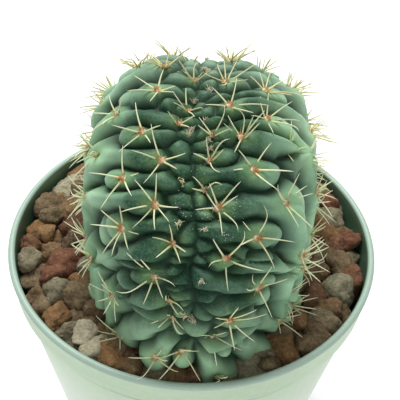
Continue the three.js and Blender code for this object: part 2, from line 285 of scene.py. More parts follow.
class Nodes:
    """A short way to add and join the nodes of one tree."""

    def __init__(self, tree: Tree) -> None:
        """Starts from an empty tree."""
        self.tree = tree
        tree.nodes.clear()

    def add(self, kind: str, settings: Optional[dict] = None, **sockets: Given) -> bpy.types.Node:
        """Adds a node.

        Args:
            kind: the node's type, after ShaderNode, or its whole type name.
            settings: properties of the node.
            **sockets: inputs by name with _ for a space: a value, or an output socket to link.

        Returns:
            The new node.
        """
        whole = kind if kind.startswith("Node") else "ShaderNode" + kind
        node = self.tree.nodes.new(whole)
        for key, value in (settings or {}).items():
            setattr(node, key, value)
        for key, value in sockets.items():
            self.put(node.inputs[key.replace("_", " ")], value)
        return node

    def put(self, socket: Socket, value: Given) -> None:
        """Links an output to the socket, or sets its value.

        Args:
            socket: an input.
            value: an output to link, or the value to set.
        """
        if isinstance(value, Socket):
            self.tree.links.new(value, socket)
        elif isinstance(value, tuple) and len(value) == 3 and socket.type == "RGBA":
            socket.default_value = (*value, 1.0)
        else:
            socket.default_value = value

    def mix(self, factor: Given, first: Given, second: Given, blend: str = "MIX") -> Socket:
        """The colour between two colours at a factor.

        Args:
            factor: the share of the second colour.
            first: a colour.
            second: a colour.
            blend: how the second is laid on the first.

        Returns:
            The mixed colour.
        """
        node = self.tree.nodes.new("ShaderNodeMix")
        node.data_type = "RGBA"
        node.blend_type = blend
        self.put(node.inputs[0], factor)
        self.put(node.inputs[6], first)
        self.put(node.inputs[7], second)
        return node.outputs[2]

    def maths(self, operation: str, first: Given, second: Given = 0.0,
              clamp: bool = False) -> Socket:
        """The result of a sum on one or two numbers.

        Args:
            operation: the kind of sum.
            first: a number.
            second: a number.
            clamp: keeps the result from 0 to 1.

        Returns:
            The result.
        """
        node = self.add("Math", {"operation": operation, "use_clamp": clamp})
        self.put(node.inputs[0], first)
        self.put(node.inputs[1], second)
        return node.outputs[0]

    def stretch(self, value: Given, low: float, high: float, new_low: float = 0.0,
                new_high: float = 1.0) -> Socket:
        """A number moved from one range to another and kept inside it.

        Args:
            value: the number.
            low: where its range starts.
            high: where its range ends.
            new_low: what low becomes.
            new_high: what high becomes.

        Returns:
            The number in its new range.
        """
        node = self.add("MapRange", {"clamp": True}, Value=value)
        for index, number in enumerate((low, high, new_low, new_high), 1):
            node.inputs[index].default_value = number
        return node.outputs[0]

    def shade(self, colour: Given, mask: Given, least: float, most: float) -> Socket:
        """A colour made darker or lighter by a mask, from the least to the most share of it."""
        return self.mix(1.0, colour, self.stretch(mask, 0, 1, least, most), "MULTIPLY")

    def ramp(self, factor: Given, stops: Sequence[tuple[float, Colour]]) -> Socket:
        """A colour from a ramp of places and colours.

        Args:
            factor: where on the ramp the colour is read.
            stops: places from 0 to 1, each with its colour.

        Returns:
            The colour.
        """
        node = self.add("ValToRGB", Fac=factor)
        elements = node.color_ramp.elements
        elements.remove(elements[1])
        elements[0].position, elements[0].color = stops[0][0], (*stops[0][1], 1)
        for place, colour in stops[1:]:
            elements.new(place).color = (*colour, 1)
        return node.outputs[0]

    def attribute(self, name: str) -> Socket:
        """A number stored on the mesh."""
        return self.add("Attribute", {"attribute_name": name}).outputs["Fac"]


def make_group(name: str, inputs: dict[str, float], outputs: Iterable[str]) -> Nodes:
    """An empty node group that takes a Vector and numbers, and gives numbers.

    Args:
        name: the group's name.
        inputs: the number sockets and their starting values.
        outputs: the names of the sockets that it gives.

    Returns:
        Its tree, with the input node first.
    """
    tree = bpy.data.node_groups.new(name, "ShaderNodeTree")
    tree.interface.new_socket("Vector", in_out="INPUT", socket_type="NodeSocketVector")
    for key, value in inputs.items():
        socket = tree.interface.new_socket(key, in_out="INPUT", socket_type="NodeSocketFloat")
        socket.default_value = value
    for key in outputs:
        tree.interface.new_socket(key, in_out="OUTPUT", socket_type="NodeSocketFloat")
    return Nodes(tree)


def make_mottle_group() -> Tree:
    """Cloudy mottling: layered noise with its contrast raised.

    Returns:
        The node group, with a mask from 0 to 1.
    """
    nodes = make_group("mottle", {"Scale": 100.0, "Contrast": 2.0}, ("Mask",))
    given = nodes.add("NodeGroupInput")
    noise = nodes.add("TexNoise", Vector=given.outputs["Vector"], Scale=given.outputs["Scale"],
                      Detail=5.0, Roughness=0.6)
    centred = nodes.maths("SUBTRACT", noise.outputs["Fac"], 0.5)
    raised = nodes.maths("MULTIPLY", centred, given.outputs["Contrast"])
    mask = nodes.maths("ADD", raised, 0.5, clamp=True)
    nodes.add("NodeGroupOutput", Mask=mask)
    return nodes.tree


def make_speck_group() -> Tree:
    """Small round specks in some of the cells of a scattered grid.

    Returns:
        The node group, with a mask that is 1 on a speck.
    """
    nodes = make_group("specks", {"Scale": 1000.0, "Size": 0.3, "Share": 0.3}, ("Mask",))
    given = nodes.add("NodeGroupInput")
    cells = nodes.add("TexVoronoi", Vector=given.outputs["Vector"], Scale=given.outputs["Scale"])
    near = nodes.maths("LESS_THAN", cells.outputs["Distance"], given.outputs["Size"])
    parts = nodes.add("SeparateColor", Color=cells.outputs["Color"])
    chosen = nodes.maths("LESS_THAN", parts.outputs[0], given.outputs["Share"])
    nodes.add("NodeGroupOutput", Mask=nodes.maths("MULTIPLY", near, chosen))
    return nodes.tree


def make_grain_group() -> Tree:
    """Height of a rough surface: two sizes of noise and round pits, each with its own weight.

    Returns:
        The node group, with a height for a bump.
    """
    nodes = make_group("grain", {"Scale": 500.0, "Pits": 0.5}, ("Height",))
    given = nodes.add("NodeGroupInput")
    fine = nodes.add("TexNoise", Vector=given.outputs["Vector"], Scale=given.outputs["Scale"],
                     Detail=6.0, Roughness=0.65)
    pits = nodes.add("TexVoronoi", {"feature": "SMOOTH_F1"}, Vector=given.outputs["Vector"],
                     Scale=given.outputs["Scale"], Smoothness=0.4)
    sunk = nodes.stretch(pits.outputs["Distance"], 0.0, 0.45)
    weighted = nodes.maths("MULTIPLY", sunk, given.outputs["Pits"])
    nodes.add("NodeGroupOutput", Height=nodes.maths("ADD", fine.outputs["Fac"], weighted))
    return nodes.tree


@dataclass
class Effects:
    """The effects that several finishes share."""

    mottle: Tree = field(default_factory=make_mottle_group)
    specks: Tree = field(default_factory=make_speck_group)
    grain: Tree = field(default_factory=make_grain_group)

    def place(self, nodes: Nodes, effect: Tree, **sockets: Given) -> Socket:
        """Puts an effect on the object's own coordinates and gives what it puts out."""
        where = nodes.add("TexCoord").outputs["Object"]
        return nodes.add("Group", {"node_tree": effect}, Vector=where, **sockets).outputs[0]


class Finish(Nodes):
    """The nodes of a new material."""

    def __init__(self, name: str) -> None:
        """Makes the material with an empty tree.

        Args:
            name: the material's name.
        """
        self.made = bpy.data.materials.new(name)
        self.made.use_nodes = True
        super().__init__(self.made.node_tree)


def finish_material(nodes: Finish, bump: Optional[tuple] = None, **sockets: Given) -> Material:
    """Adds the Principled shader and the output.

    Args:
        nodes: the material's nodes.
        bump: the height, its strength and its distance in millimetres.
        **sockets: inputs of the shader.

    Returns:
        The material.
    """
    shader = nodes.add("BsdfPrincipled", **sockets)
    if bump:
        height, strength, distance = bump
        relief = nodes.add("Bump", Height=height, Strength=strength, Distance=distance * MM)
        nodes.put(shader.inputs["Normal"], relief.outputs["Normal"])
    nodes.add("OutputMaterial", Surface=shader.outputs[0])
    return nodes.made


# Finishes

@dataclass(frozen=True)
class SkinFinish:
    """Blue-green skin: painted shade in the creases, darker by the crest, paler down the flanks with bloom
    and painted light.
    """

    # Painted shade: the dark tone laid into the creases between the ribs.
    painted_crease_shade: Colour = (0.003, 0.024, 0.010)
    crest: Colour = (0.006, 0.050, 0.026)
    # Paler flank tone: the skin's bloom plus painted light on the side-facing flanks.
    flank: Colour = (0.480, 0.770, 0.470)
    teal: Colour = (0.036, 0.165, 0.112)
    fresh: Colour = (0.240, 0.430, 0.150)
    bloom: Colour = (0.420, 0.620, 0.440)
    roughness: float = 0.5

    def material(self, effects: Effects) -> Material:
        """Builds the material.

        Args:
            effects: the shared node groups.

        Returns:
            The new material.
        """
        nodes = Finish("cactus_skin")
        cloud = effects.place(nodes, effects.mottle, Scale=120.0, Contrast=2.4)
        broad = effects.place(nodes, effects.mottle, Scale=60.0, Contrast=3.0)
        fine = effects.place(nodes, effects.mottle, Scale=1500.0, Contrast=3.0)
        dots = effects.place(nodes, effects.specks, Scale=2200.0, Size=0.28, Share=0.5)
        dome = nodes.attribute("dome")
        uneven = nodes.stretch(cloud, 0, 1, -0.14, 0.14)
        # Age and painted light: this mask pales the skin outward and at the front.
        age = nodes.maths("ADD", nodes.attribute("age"), uneven, clamp=True)
        green = nodes.mix(age, self.crest, self.flank)
        patches = nodes.maths("MULTIPLY", nodes.stretch(broad, 0.3, 0.9, 0, 0.9), age)
        cool = nodes.mix(patches, green, self.teal)
        warm = nodes.mix(nodes.stretch(nodes.attribute("fresh"), 0.0, 1.0, 0.0, 0.5), cool, self.fresh)
        pale = nodes.maths("MULTIPLY", nodes.stretch(cloud, 0.35, 1.0, 0.0, 0.4), nodes.attribute("age"))
        far = nodes.stretch(nodes.attribute("far"), 0, 1, 0, 0.38)
        bloomed = nodes.mix(nodes.maths("ADD", pale, far), warm, self.bloom)
        dusty = nodes.mix(nodes.stretch(fine, 0.2, 1.0, 0.0, 0.09), bloomed, self.bloom)
        dotted = nodes.mix(nodes.maths("MULTIPLY", dots, 0.12), dusty, self.bloom)
        # Painted shade: the skin darkens toward the creases as the dome share falls.
        colour = nodes.mix(nodes.stretch(dome, 0.9, 0.34, 0.0, 0.96), dotted, self.painted_crease_shade)
        height = effects.place(nodes, effects.grain, Scale=1600.0, Pits=0.25)
        rough = nodes.stretch(fine, 0, 1, self.roughness - 0.08, self.roughness + 0.12)
        return finish_material(nodes, (height, 0.35, 0.12), Base_Color=colour, Roughness=rough,
                               Subsurface_Weight=0.05, Subsurface_Radius=(0.001, 0.002, 0.001),
                               Specular_IOR_Level=0.2, Sheen_Weight=0.08, Sheen_Roughness=0.4,
                               Sheen_Tint=(0.7, 1.0, 0.7))


@dataclass(frozen=True)
class SpineFinish:
    """Straw spines with rusty feet, each a little different, yellower at the far end of the crest."""

    foot: Colour = (0.430, 0.170, 0.050)
    low: Colour = (0.660, 0.470, 0.200)
    straw: Colour = (0.670, 0.690, 0.390)
    tip: Colour = (0.750, 0.790, 0.540)
    yellow: Colour = (0.720, 0.640, 0.260)
    roughness: float = 0.45

    def material(self, effects: Effects) -> Material:
        """Builds the material.

        Args:
            effects: the shared node groups.

        Returns:
            The new material.
        """
        nodes = Finish("spines")
        along = nodes.attribute("along")
        stops = [(0.0, self.foot), (0.07, self.low), (0.18, self.straw), (1.0, self.tip)]
        colour = nodes.ramp(along, stops)
        sunny = nodes.maths("MULTIPLY", nodes.attribute("far"), nodes.stretch(along, 0.0, 0.15, 0.0, 0.6))
        yellowed = nodes.mix(sunny, colour, self.yellow)
        streak = effects.place(nodes, effects.mottle, Scale=900.0, Contrast=1.5)
        streaked = nodes.shade(yellowed, streak, 0.85, 1.1)
        tinted = nodes.shade(streaked, nodes.attribute("pick"), 0.8, 1.12)
        return finish_material(nodes, Base_Color=tinted, Roughness=self.roughness,
                               Subsurface_Weight=0.15, Subsurface_Radius=(0.0008, 0.0006, 0.0003))


@dataclass(frozen=True)
class WoolFinish:
    """Short felt on the areoles: rusty in the middle, pale at the end nearest the crest."""

    rust: Colour = (0.460, 0.210, 0.080)
    pale: Colour = (0.720, 0.680, 0.480)

    def material(self, effects: Effects) -> Material:
        """Builds the material.

        Args:
            effects: the shared node groups.

        Returns:
            The new material.
        """
        nodes = Finish("areole_wool")
        clump = effects.place(nodes, effects.mottle, Scale=1800.0, Contrast=3.0)
        colour = nodes.mix(nodes.attribute("young"), self.rust, self.pale)
        tufted = nodes.shade(colour, clump, 0.6, 1.25)
        height = effects.place(nodes, effects.grain, Scale=3500.0, Pits=0.4)
        return finish_material(nodes, (height, 0.8, 0.15), Base_Color=tufted, Roughness=0.95,
                               Specular_IOR_Level=0.2)


@dataclass(frozen=True)
class StoneFinish:
    """Rough lava stones in browns, tans and greys, one tone for each stone, with pits and dust."""

    tones: tuple[Colour, ...] = (
        (0.070, 0.046, 0.026),
        (0.175, 0.074, 0.042),
        (0.125, 0.086, 0.046),
        (0.230, 0.128, 0.055),
        (0.150, 0.104, 0.058),
        (0.175, 0.140, 0.082),
        (0.205, 0.184, 0.120),
        (0.350, 0.320, 0.215),
        (0.430, 0.370, 0.280),
    )
    dust: Colour = (0.330, 0.295, 0.210)

    def material(self, effects: Effects) -> Material:
        """Builds the material.

        Args:
            effects: the shared node groups.

        Returns:
            The new material.
        """
        nodes = Finish("lava_gravel")
        stops = [(i / (len(self.tones) - 1), tone) for i, tone in enumerate(self.tones)]
        tone = nodes.ramp(nodes.attribute("pick"), stops)
        cloud = effects.place(nodes, effects.mottle, Scale=260.0, Contrast=2.4)
        fine = effects.place(nodes, effects.mottle, Scale=1300.0, Contrast=3.0)
        grainy = nodes.shade(nodes.shade(tone, cloud, 0.7, 1.25), fine, 0.7, 1.22)
        clouded = nodes.stretch(cloud, 0.4, 1.0, 0, 0.4)
        powder = nodes.maths("MULTIPLY", nodes.stretch(fine, 0.55, 1.0), clouded)
        colour = nodes.mix(powder, grainy, self.dust)
        height = effects.place(nodes, effects.grain, Scale=850.0, Pits=0.8)
        return finish_material(nodes, (height, 0.7, 0.4), Base_Color=colour, Roughness=0.95,
                               Specular_IOR_Level=0.2)


@dataclass(frozen=True)
class PlasticFinish:
    """Pale mint moulded plastic: greyer, bluer rim from painted shade and reflection, painted shade with
    soil stain inside, painted light at the base.
    """

    wall: Colour = (0.430, 0.565, 0.400)
    # Painted light: the paler tone toward the foot of the wall.
    base: Colour = (0.620, 0.695, 0.595)
    # Painted shade and painted reflection: the greyer, bluer rim.
    rim: Colour = (0.330, 0.450, 0.370)
    # Painted shade with some soil stain: the dark inside of the pot.
    inside: Colour = (0.060, 0.125, 0.080)
    roughness: float = 0.42

    def material(self, effects: Effects) -> Material:
        """Builds the material.

        Args:
            effects: the shared node groups.

        Returns:
            The new material.
        """
        nodes = Finish("pot_plastic")
        cloud = effects.place(nodes, effects.mottle, Scale=45.0, Contrast=1.6)
        fine = effects.place(nodes, effects.mottle, Scale=700.0, Contrast=2.5)
        # Painted light: the wall pales toward its foot.
        painted_light_base = nodes.mix(nodes.attribute("fade"), self.wall, self.base)
        # Painted shade and reflection laid on the rim.
        shell = nodes.mix(nodes.attribute("rim"), painted_light_base, self.rim)
        # Painted shade with some soil stain on the inside.
        both = nodes.mix(nodes.attribute("inside"), shell, self.inside)
        colour = nodes.shade(nodes.shade(both, cloud, 0.94, 1.05), fine, 0.96, 1.04)
        height = effects.place(nodes, effects.grain, Scale=1500.0, Pits=0.1)
        rough = nodes.stretch(cloud, 0, 1, self.roughness - 0.06, self.roughness + 0.08)
        return finish_material(nodes, (height, 0.12, 0.08), Base_Color=colour, Roughness=rough,
                               Subsurface_Weight=0.08, Subsurface_Radius=(0.002, 0.003, 0.002))


@dataclass(frozen=True)
class SoilFinish:
    """Dark gritty potting mix."""

    dark: Colour = (0.018, 0.012, 0.008)
    light: Colour = (0.085, 0.058, 0.036)
    grit: Colour = (0.300, 0.260, 0.200)

    def material(self, effects: Effects) -> Material:
        """Builds the material.

        Args:
            effects: the shared node groups.

        Returns:
            The new material.
        """
        nodes = Finish("potting_soil")
        crumbs = effects.place(nodes, effects.mottle, Scale=700.0, Contrast=3.0)
        grit = effects.place(nodes, effects.specks, Scale=900.0, Size=0.35, Share=0.2)
        mould = nodes.mix(crumbs, self.dark, self.light)
        colour = nodes.mix(nodes.maths("MULTIPLY", grit, 0.4), mould, self.grit)
        height = effects.place(nodes, effects.grain, Scale=700.0, Pits=0.8)
        return finish_material(nodes, (height, 1.0, 0.8), Base_Color=colour, Roughness=0.98)


@dataclass(frozen=True)
class GrainFinish:
    """Pale mineral grains and dried scraps, in one plain tone with a little mottling."""

    name: str = "pale_grains"
    tone: Colour = (0.700, 0.720, 0.660)
    roughness: float = 0.8

    def material(self, effects: Effects) -> Material:
        """Builds the material.

        Args:
            effects: the shared node groups.

        Returns:
            The new material.
        """
        nodes = Finish(self.name)
        cloud = effects.place(nodes, effects.mottle, Scale=1200.0, Contrast=2.0)
        colour = nodes.shade(self.tone, cloud, 0.75, 1.1)
        return finish_material(nodes, Base_Color=colour, Roughness=self.roughness)


class Palette:
    """Every material, made once."""

    def __init__(self) -> None:
        """Builds the shared effects and then the materials."""
        effects = Effects()
        self.skin = SkinFinish().material(effects)
        self.spine = SpineFinish().material(effects)
        self.wool = WoolFinish().material(effects)
        self.stone = StoneFinish().material(effects)
        self.plastic = PlasticFinish().material(effects)
        self.soil = SoilFinish().material(effects)
        self.grain = GrainFinish().material(effects)
        self.scrap = GrainFinish("dried_scraps", (0.60, 0.54, 0.30), 0.85).material(effects)
        self.bark = GrainFinish("root_bark", (0.25, 0.17, 0.10), 0.9).material(effects)


def dress(piece: bpy.types.Object, material: Material, slot: Slot, *nodes: str) -> None:
    """Gives a piece its material and its body, and hides the nodes that it stands for.

    Args:
        piece: the object.
        material: its finish.
        slot: not used.
        *nodes: solids that the piece replaces.
    """
    piece.data.materials.clear()
    piece.data.materials.append(material)
    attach(piece, BODY)
    if nodes:
        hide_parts(*nodes)
    LOG.info("%s: %d faces", piece.name, len(piece.data.polygons))


# The plant

@dataclass(frozen=True)
class Rib:
    """One rib: its areoles from the crest outwards, and where it starts if that has no areole.

    Places are pairs of degrees: round the crest from the front, and out from it. The lift is the height in
    millimetres that its chins have above the usual one.
    """

    areoles: tuple[Pair, ...]
    start: Optional[Pair] = None
    lift: float = 0.0


@dataclass(frozen=True)
class Bud:
    """A small bare swelling by the crest: its place in degrees and its half length and half width."""

    round: float
    out: float
    length: float
    width: float


@dataclass(frozen=True)
class Swelling:
    """One raised part of the skin: an oval, or two half ovals with a straight stretch between them.

    Lengths are in millimetres. The rib is a number, and axis and across are unit vectors along the skin.
    """

    rib: int
    centre: Array
    axis: Array
    across: Array
    straight: float
    end: float
    width: float
    top: float


@dataclass
class Areoles:
    """Every spiny areole as arrays: its angles on the plain body and the directions there."""

    round: Array
    out: Array
    normal: Array
    away: Array
    along: Array


LEFT_RIBS = (
    Rib(((-3, 1),)),
    Rib(((-4.5, 8),), (2, 4.5)),
    Rib(((9.5, 5), (-14.5, 23))),
    Rib(((16, 5.5), (5.5, 26.5))),
    Rib(((24.5, 9),), (27, 4)),
    Rib(((34.5, 5), (13, 42))),
    Rib(((38, 19),), (40.5, 5)),
    Rib(((45.5, 9.5), (51.5, 44.5))),
    Rib(((54, 20),), (52.5, 7)),
    Rib(((59, 9), (69, 34))),
    Rib(((69, 15),), (67.5, 8)),
    Rib(((73.5, 5.5), (84, 26.5))),
    Rib(((82, 3.5),)),
    Rib(((87, 12),), (87, 7)),
    Rib(((96.5, 2),)),
    Rib(((102.5, 11), (109, 35.5))),
    Rib(((115, 4), (116, 21))),
)
RIGHT_RIBS = (
    Rib(((-11, 9),), (-3, 6), 3.4),
    Rib(((2, 8),)),
    Rib(((-15.5, 20.5),), (0.5, 15.5), 3.4),
    Rib(((10.5, 11), (-11, 35))),
    Rib(((20, 20),), (24.5, 4)),
    Rib(((31, 9), (18, 44))),
    Rib(((37.5, 17.5),), (39, 4.5)),
    Rib(((45.5, 7), (49.5, 28))),
    Rib(((51, 3.5),)),
    Rib(((58, 16),), (55.5, 4)),
    Rib(((60.5, 4.5),)),
    Rib(((69.5, 13.5), (74.5, 38.5))),
    Rib(((70, 5),)),
    Rib(((80, 21.5),), (74, 14)),
    Rib(((80.5, 9), (102, 43))),
    Rib(((95.5, 21),), (88, 14.5)),
    Rib(((94.5, 8),)),
    Rib(((117, 10), (117, 31))),
    Rib(((119, 21),), (112, 13)),
)
LEFT_BUDS = (
    Bud(64, 4.5, 3.1, 3.1), Bud(56.5, 4, 2.3, 2.1), Bud(47, 3.5, 3.1, 2.2), Bud(43, 2.5, 2.4, 1.5),
    Bud(37.5, 1.5, 2.2, 2.4), Bud(29, 3.5, 2.6, 1.5), Bud(23.5, 2.5, 2.9, 2.3), Bud(20.5, 3, 2.4, 1.3),
    Bud(14.5, 1.2, 1.5, 1.3), Bud(4, 2.5, 1.8, 3.1), Bud(52, 2, 1.5, 1.5), Bud(89.5, 3, 2.1, 2.1),
    Bud(79.5, 5.5, 2.1, 1.8), Bud(99, 6, 1.8, 1.8), Bud(104, 4, 2, 2),
)
RIGHT_BUDS = (
    Bud(48, 2.5, 1.8, 1.9), Bud(43, 3.5, 2.3, 1.7), Bud(34.5, 4, 2.2, 2.2), Bud(29.5, 4, 2.6, 1.4),
    Bud(18.5, 5, 2.8, 2.1), Bud(12, 4.5, 2.3, 2.2), Bud(75, 6, 2.4, 1.7), Bud(94.5, 4, 1.9, 2.1),
    Bud(106, 1.8, 1.7, 2.1), Bud(62, 1.5, 1.8, 1.3), Bud(70, 0.8, 1.5, 2.1), Bud(83.5, 0.8, 1.5, 1.5),
    Bud(65.5, 6, 1.5, 1.3), Bud(86.5, 7, 3.1, 1.8), Bud(101, 4, 2, 2),
)
WOOL_SPOTS = ((45.5, 6.3), (40.5, -3.5), (39.5, 4), (51, 3.5), (25, 3.5), (12, -0.8), (9.5, 2), (10, 1))
# Degrees round and out, how many threads and how long they are
SCRAPS = ((52.5, -3.5, 7, 2.2), (51, 2.5, 3, 1.8), (41, -3.4, 3, 1.4), (13, -1.5, 2, 1.4))
# Degrees round and out, the spread in degrees and how many grains
DUST = ((45.5, -1.5, 1.8, 45), (42, 4, 1.2, 14), (38, 8.5, 1.6, 22), (46, 11, 2.0, 22), (46, 1, 7.0, 40))
# X, Y, radius and tone
CHOSEN_STONES = (
    (-38.5, 24, 5.2, 0.88), (39.8, 15.5, 6.2, 0.74), (-33.6, -20, 4.6, 0.72), (-25, -33.5, 3.3, 0.93),
    (-21.5, -38.2, 3.5, 0.9), (38.8, -14.5, 5.0, 0.8), (40.3, -4, 5.2, 0.5), (36.5, 23.5, 4.6, 0.3),
    (36, -22, 4.4, 0.45), (-40.5, 8, 3.4, 0.55), (-41, 0, 3.0, 0.4),
)


@dataclass(frozen=True)
class ChinRule:
    """A chin's sizes by its place on the body.

    Each tuple of four has how far the chin's middle lies outward of its areole, its half length, half
    width and height, in millimetres: for a young chin, and what is added by age, flank and far end.
    Ranges are degrees out from the crest or round it, where the share goes from none to all.
    """

    young: tuple[float, ...] = (3.2, 3.5, 2.9, 3.1)
    old_adds: tuple[float, ...] = (0.0, 2.1, 1.0, 1.3)
    flank_adds: tuple[float, ...] = (-1.2, 0.8, 2.5, 2.6)
    far_adds: tuple[float, ...] = (0.0, 0.0, -0.3, 0.0)
    old_outs: Pair = (4.0, 14.0)
    old_rounds: Pair = (14.0, 0.0)
    flank_outs: Pair = (23.0, 35.0)
    front_rounds: Pair = (2.0, -12.0)
    front_share: float = 0.5
    far_rounds: Pair = (85.0, 110.0)

    def sizes(self, round_: float, out: float) -> tuple[float, ...]:
        """A young chin's sizes plus each of the additions times its share at the areole's place.

        Args:
            round_: degrees round the crest.
            out: degrees out from the crest.

        Returns:
            The chin's shift, half length, half width and height.
        """
        front = self.front_share * smooth_step(*self.front_rounds, round_)
        old = float(max(smooth_step(*self.old_outs, out), smooth_step(*self.old_rounds, round_)))
        flank = float(max(smooth_step(*self.flank_outs, out), front))
        far = float(smooth_step(*self.far_rounds, round_))
        parts = zip(self.young, self.old_adds, self.flank_adds, self.far_adds)
        return tuple(size + a * old + b * flank + c * far for size, a, b, c in parts)


@dataclass
class CrestShape:
    """The crest: a rounded box on an arch, covered in ribs that meet in sharp creases.

    Every place belongs to the rib that is nearest by the ribs' own sizes, and the skin swells up from
    the creases between them. Lengths are in millimetres and places in degrees.
    """

    # The plain body
    centre: Place = (0.0, -1.0, 88.5)
    left: float = 24.3
    right: float = 27.2
    front: float = 42.0
    back: float = 37.0
    height: float = 38.5
    top_squareness: float = 3.3
    front_squareness: float = 2.1
    back_squareness: float = 4.4
    roundness: float = 2.1
    # The groove of the growing line
    groove_depth: float = 1.8
    groove_width: float = 4.0
    groove_sway: float = 0.6
    sways_per_turn: float = 17.0
    groove_fades: Pair = (86.0, 104.0)
    groove_lost: float = 0.7
    # The creases, and how the skin rises from them
    crest_floor: float = -0.3
    flank_floor: float = -2.4
    floor_spread: Pair = (3.0, 18.0)
    rib_blend: float = 5.0
    far: float = 3.0
    soft_crease: float = 0.06
    steepness: float = 2.4
    flatness: float = 0.62
    lean: float = 0.28
    lean_grows: Pair = (2.0, 9.0)
    lean_fades: Pair = (55.0, 80.0)
    droop: float = 0.16
    sway_size: float = 0.3
    sway_length: float = 7.0
    sway_seeds: tuple[int, ...] = (5, 6, 7)
    wrinkles: tuple[Pair, ...] = ((0.06, 4.0), (0.02, 1.5))
    dimple_depth: float = 0.5
    dimple_radius: float = 1.2
    # The way outward and, at the front, downward
    probe: float = 0.5
    front_rounds: Pair = (10.0, -6.0)
    front_outs: Pair = (4.0, 22.0)
    front_outward: float = 0.55
    # Chins, necks, buds and the swellings that fill gaps
    chins: ChinRule = ChinRule()
    chin_widths: Pair = (0.93, 1.08)
    chin_heights: Pair = (-0.3, 0.3)
    neck_width: float = 0.66
    widest_neck: float = 2.9
    neck_height: float = 0.84
    bud_height: float = 2.2
    bud_slope: float = 0.12
    bud_slope_ends: float = 6.0
    largest_gap: float = 1.35
    gap_step: float = 2.0
    gap_outs: tuple[float, ...] = (2.0, 5.0, 9.0, 14.0, 20.0, 27.0, 35.0, 44.0, 54.0, 66.0, 78.0)
    filler_sizes: Pair = (0.68, 0.82)
    filler_height: float = 0.8
    filler_flank_lost: float = 0.35
    filler_outs: Pair = (20.0, 32.0)
    # Where the ribs run on the flanks and the back
    foot_level: float = 64.0
    pitch: float = 15.0
    flank_from: float = 21.0
    chin_pitch: float = 14.5
    lowest_chin: float = 74.0
    back_from: float = 124.0
    first_round: float = -34.0
    last_round: float = 215.0
    single_out: float = 20.0
    single_start: float = 6.0
    double_outs: Pair = (9.0, 33.0)
    buds_from: float = 112.0
    bud_pitch: float = 6.0
    bud_shift: float = 1.3
    back_bud: tuple[float, ...] = (3.2, 2.4, 2.0)

    def __post_init__(self) -> None:
        """Places every rib and bud once, and makes the swellings and areoles."""
        self.swellings: list[Swelling] = []
        self.spiny: list[Pair] = []
        self.ribs = 0
        draw = np.random.default_rng(Seed.RIBS)
        for side, ribs, buds in ((Side.LEFT, LEFT_RIBS, LEFT_BUDS), (Side.RIGHT, RIGHT_RIBS, RIGHT_BUDS)):
            for rib in ribs + self.back_ribs(side):
                self.add_rib(side, rib, draw)
            for bud in buds + self.back_buds(side):
                self.add_bud(side, bud)
            self.fill_gaps(side, draw)

    def half_sizes(self, v: Array) -> tuple[Array, Array, float]:
        """The plain body's half sizes on the side where each vector points."""
        return (np.where(v[..., 0] < 0, self.left, self.right),
                np.where(v[..., 1] < 0, self.front, self.back), self.height)

    def squareness(self, v: Array) -> Array:
        """How square the plain body is where each vector points: less towards the front, more behind.

        Args:
            v: vectors from the body's middle.

        Returns:
            The power that shapes the body there.
        """
        share = -v[..., 1] / (np.hypot(v[..., 1], v[..., 2]) + 1e-12)
        ahead, behind = np.clip(share, 0, 1), np.clip(-share, 0, 1)
        return (self.top_squareness + (self.front_squareness - self.top_squareness) * ahead ** 3
                + (self.back_squareness - self.top_squareness) * behind)

    def measure(self, v: Array) -> Array:
        """How far out a vector from the middle reaches, with 1 on the plain body.

        ((|x|/a)^n + ((|y|/b)^m + (|z|/c)^m)^(n/m))^(1/n), n the squareness and m the roundness.

        Args:
            v: vectors from the body's middle.

        Returns:
            Their reach, as a share of the body's.
        """
        a, b, c = self.half_sizes(v)
        arch = (abs(v[..., 1]) / b) ** self.roundness + (abs(v[..., 2]) / c) ** self.roundness
        n = self.squareness(v)
        return ((abs(v[..., 0]) / a) ** n + arch ** (n / self.roundness)) ** (1 / n)

    def point(self, round_: Array, out: Array) -> Array:
        """Place on the plain body at angles round the crest and out from it, in degrees.

        Args:
            round_: degrees round the crest.
            out: degrees out from the crest.

        Returns:
            Places in millimetres.
        """
        r, o = np.radians(round_), np.radians(out)
        way = np.stack(np.broadcast_arrays(np.sin(o), -np.cos(o) * np.cos(r), np.cos(o) * np.sin(r)), -1)
        return np.array(self.centre) + way / self.measure(way)[..., None]

    def normal(self, points: Array) -> Array:
        """Outward normal of the plain body, the slope of its measure at a steady squareness.

        Args:
            points: places on the plain body.

        Returns:
            Unit vectors.
        """
        v = points - np.array(self.centre)
        a, b, c = self.half_sizes(v)
        x, y, z = abs(v[..., 0]) / a, abs(v[..., 1]) / b, abs(v[..., 2]) / c
        n, m = self.squareness(v), self.roundness
        arch = (y ** m + z ** m + 1e-9) ** (n / m - 1)
        return unit(np.stack([x ** (n - 1) / a * np.sign(v[..., 0]),
                              arch * y ** (m - 1) / b * np.sign(v[..., 1]),
                              arch * z ** (m - 1) / c * np.sign(v[..., 2])], -1))

    def away(self, round_: Array, out: Array) -> Array:
        """Unit vectors along the plain body, away from the crest and, at its front end, downwards.

        Args:
            round_: degrees round the crest.
            out: degrees out, negative on the left.

        Returns:
            Unit vectors.
        """
        round_, out = np.asarray(round_), np.asarray(out)
        here = self.point(round_, out)
        outward = unit(self.point(round_, out + np.where(out < 0, -self.probe, self.probe)) - here)
        down = unit(self.point(round_ - self.probe, out) - here)
        kept = 1 - self.front_outward * smooth_step(*self.front_outs, abs(out))
        share = np.asarray(smooth_step(*self.front_rounds, round_) * kept)[..., None]
        return unit(outward * (1 - share) + down * share)

